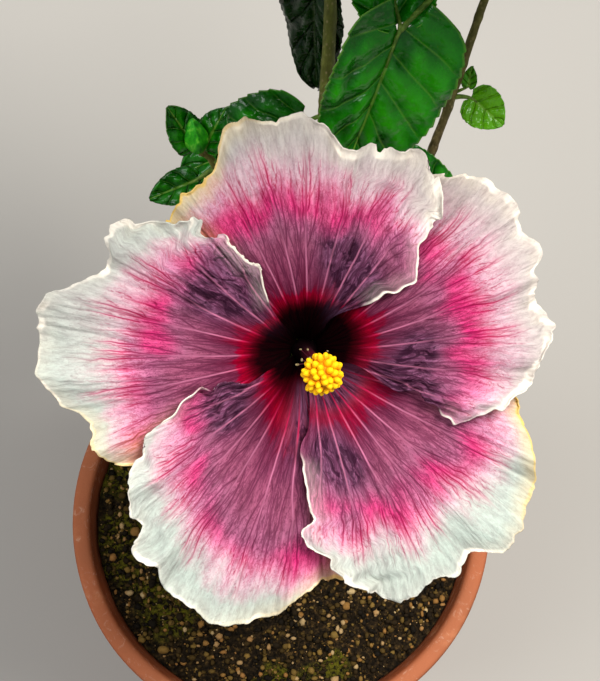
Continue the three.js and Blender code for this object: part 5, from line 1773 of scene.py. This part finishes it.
def build_calyx(growth):
    to_part = bloom_place()
    finish = stalk_finish("green_calyx", *STALK_GREENS)
    top, length, rim = CALYX["top"], CALYX["length"], CALYX["rim_radius"]
    foot = top - length
    profile = rounded([
        (0, foot), (CALYX["foot_radius"], foot), (rim * 0.8, top - length * 0.72),
        (rim, top - length * 0.3), (rim, top - 1.2), (0, top - 1.2),
    ], 4)
    cup = turned_profile("calyx_cup", profile, 60)
    points = points_of(cup)
    turn = np.arctan2(points[:, 1], points[:, 0])
    out = np.hypot(points[:, 0], points[:, 1])
    ribbed = 1 + 0.03 * np.cos(10 * turn) * smooth(out, 2, 6)
    set_points(cup, to_part(points * np.stack([ribbed, ribbed, np.ones_like(ribbed)], -1)))
    add_piece("calyx_cup", cup, "green_stalk", ["calyx"], finish)

    blade = grid_shape(14, 24)
    across, along = 2 * blade.points[:, 0], blade.points[:, 1] + 0.5
    ridge = 0.25 * np.exp(-((across / 0.18) ** 2))
    blades = Gathering()
    seats = {"lobes": (rim - 0.25, top - 3), "bracts": (CALYX["foot_radius"] + 0.6, foot + 3)}
    for kind, (radius, height) in seats.items():
        lobe = CALYX[kind]
        aside = across * lobe["half_width"] * (1 - 0.96 * along**1.3)
        curl = 0.25 * aside**2 / radius
        out = radius + lobe["lean"] * lobe["length"] * along**1.3 - curl + ridge
        for i in range(lobe["count"]):
            turn = (i + 0.3) / lobe["count"] * 2 * math.pi
            outward = np.array([math.cos(turn), math.sin(turn), 0])
            sideways = np.array([-math.sin(turn), math.cos(turn), 0])
            points = outward * out[:, None] + sideways * aside[:, None]
            points[:, 2] = height + lobe["length"] * along
            blades.add(blade, to_part(points))
    piece = blades.add_piece("calyx_lobes", "green_stalk", ["calyx"], finish)
    give_thickness(piece, 0.6)

    axis = unit(BLOOM["axis"])
    base = np.array(BLOOM["base"]) + axis * (foot + 1)
    tip, onward = growth.routes["flower"].at(1.0), growth.routes["flower"].tangent(1.0)
    route = Route([tip - onward, tip + 14 * onward, base - 12 * axis, base])
    stalk = Gathering()
    stalk.add_tube(tube_shape(18, 60), route, stalk_radius)
    stalk.add_piece("flower_stem", "green_stalk", ["flower_stalk"], finish)


# Stage
CAMERA = {"place": (0.010, -0.1145, 0.9725), "tilt": 15, "focal_pixels": 1500, "long_side_pixels": 681}


def area_light(name, place, aim, size, power, colour):
    light = bpy.data.lights.new(name, "AREA")
    light.size, light.energy, light.color = size, power, colour
    lamp = bpy.data.objects.new(name, light)
    lamp.location = place
    lamp.rotation_euler = (Vector(aim) - Vector(place)).to_track_quat("-Z", "Y").to_euler()
    bpy.context.scene.collection.objects.link(lamp)


def build_stage(settings):
    bm = bmesh.new()
    bmesh.ops.create_grid(bm, x_segments=1, y_segments=1, size=4)
    floor = bpy.data.objects.new("studio_floor", mesh_from(bm, "studio_floor"))
    bpy.context.scene.collection.objects.link(floor)
    plain = Finish("studio_floor", roughness=0.9, specular_ior_level=0.1)
    plain.colour(plain.mix(plain.grain(plain.place(), 3, detail=2), settings.floor, paint(186, 181, 173)))
    floor.data.materials.append(plain.material)

    area_light("key", (0.62, 0.25, 1.75), (0, 0, 0.35), 0.6, settings.key_power, (1, 0.985, 0.96))
    area_light("side", (-0.7, -0.1, 1.5), (0, 0, 0.35), 0.7, settings.key_power * 0.25, (0.96, 0.98, 1))
    world = bpy.data.worlds.new("studio")
    world.use_nodes = True
    backdrop = world.node_tree.nodes["Background"]
    backdrop.inputs["Color"].default_value = (0.93, 0.95, 1, 1)
    backdrop.inputs["Strength"].default_value = settings.sky_strength
    bpy.context.scene.world = world

    camera = bpy.data.cameras.new("camera")
    camera.sensor_width = 36
    camera.lens = CAMERA["focal_pixels"] / CAMERA["long_side_pixels"] * camera.sensor_width
    camera.clip_start, camera.clip_end = 0.01, 20
    holder = bpy.data.objects.new("camera", camera)
    holder.location = CAMERA["place"]
    holder.rotation_euler = (math.radians(CAMERA["tilt"]), 0, 0)
    bpy.context.scene.collection.objects.link(holder)
    bpy.context.scene.camera = holder
    bpy.context.scene.view_settings.view_transform = "Standard"


# The add-on
GROWTH = {}


def grow_once():
    """What the rule grows, worked out once."""
    if not GROWTH:
        GROWTH["all"] = Growth()
    return GROWTH["all"]


class HIBISCUS_OT_pot(bpy.types.Operator):
    """Build the clay pot with its rolled rim and drain holes"""
    bl_idname = "hibiscus.pot"
    bl_label = "Clay Pot"

    def execute(self, context):
        build_pot(context.scene.hibiscus_pot)
        return {"FINISHED"}


class HIBISCUS_OT_soil(bpy.types.Operator):
    """Fill the pot with potting mix, crumbs, pebbles and moss"""
    bl_idname = "hibiscus.soil"
    bl_label = "Potting Mix"

    def execute(self, context):
        build_soil(context.scene.hibiscus_pot)
        return {"FINISHED"}


class HIBISCUS_OT_stems(bpy.types.Operator):
    """Grow the trunk and the stems in bark"""
    bl_idname = "hibiscus.stems"
    bl_label = "Trunk and Stems"

    def execute(self, context):
        build_stems(grow_once(), context.scene.hibiscus_stem)
        return {"FINISHED"}


class HIBISCUS_OT_foliage(bpy.types.Operator):
    """Grow the twigs, leaf stalks, toothed leaves and the bud"""
    bl_idname = "hibiscus.foliage"
    bl_label = "Foliage"

    def execute(self, context):
        build_foliage(grow_once(), context.scene.hibiscus_leaf)
        return {"FINISHED"}


class HIBISCUS_OT_petals(bpy.types.Operator):
    """Build the five ruffled petals"""
    bl_idname = "hibiscus.petals"
    bl_label = "Petals"

    def execute(self, context):
        build_petals(context.scene.hibiscus_bloom)
        return {"FINISHED"}


class HIBISCUS_OT_pistil(bpy.types.Operator):
    """Build the column with its stamens and yellow head"""
    bl_idname = "hibiscus.pistil"
    bl_label = "Column and Head"

    def execute(self, context):
        build_pistil(context.scene.hibiscus_bloom)
        return {"FINISHED"}


class HIBISCUS_OT_calyx(bpy.types.Operator):
    """Build the calyx and the flower's stalk"""
    bl_idname = "hibiscus.calyx"
    bl_label = "Calyx and Stalk"

    def execute(self, context):
        build_calyx(grow_once())
        return {"FINISHED"}


class HIBISCUS_OT_stage(bpy.types.Operator):
    """Set up the floor, the studio light and the camera"""
    bl_idname = "hibiscus.stage"
    bl_label = "Stage"

    def execute(self, context):
        build_stage(context.scene.hibiscus_stage)
        return {"FINISHED"}


SETTINGS = {
    "hibiscus_pot": PotSettings, "hibiscus_stem": StemSettings, "hibiscus_leaf": LeafSettings,
    "hibiscus_bloom": BloomSettings, "hibiscus_stage": StageSettings,
}
OPERATORS = (
    HIBISCUS_OT_pot, HIBISCUS_OT_soil, HIBISCUS_OT_stems, HIBISCUS_OT_foliage,
    HIBISCUS_OT_petals, HIBISCUS_OT_pistil, HIBISCUS_OT_calyx, HIBISCUS_OT_stage,
)


class HIBISCUS_PT_build(bpy.types.Panel):
    """Lists the sizes, the colours and the build steps"""
    bl_idname = "HIBISCUS_PT_build"
    bl_label = "Potted Hibiscus"
    bl_space_type = "VIEW_3D"
    bl_region_type = "UI"
    bl_category = "Hibiscus"

    def draw(self, context):
        for name, group in SETTINGS.items():
            box = self.layout.box()
            for key in group.__annotations__:
                box.prop(getattr(context.scene, name), key)
        for operator in OPERATORS:
            self.layout.operator(operator.bl_idname)


def register():
    for name, group in SETTINGS.items():
        bpy.utils.register_class(group)
        setattr(bpy.types.Scene, name, PointerProperty(type=group))
    for kind in (*OPERATORS, HIBISCUS_PT_build):
        bpy.utils.register_class(kind)


def unregister():
    for kind in reversed((*OPERATORS, HIBISCUS_PT_build)):
        bpy.utils.unregister_class(kind)
    for name, group in SETTINGS.items():
        delattr(bpy.types.Scene, name)
        bpy.utils.unregister_class(group)


def main():
    register()
    bpy.ops.hibiscus.pot()
    bpy.ops.hibiscus.soil()
    bpy.ops.hibiscus.stems()
    bpy.ops.hibiscus.foliage()
    bpy.ops.hibiscus.petals()
    bpy.ops.hibiscus.pistil()
    bpy.ops.hibiscus.calyx()
    bpy.ops.hibiscus.stage()


if __name__ == "__main__":
    main()
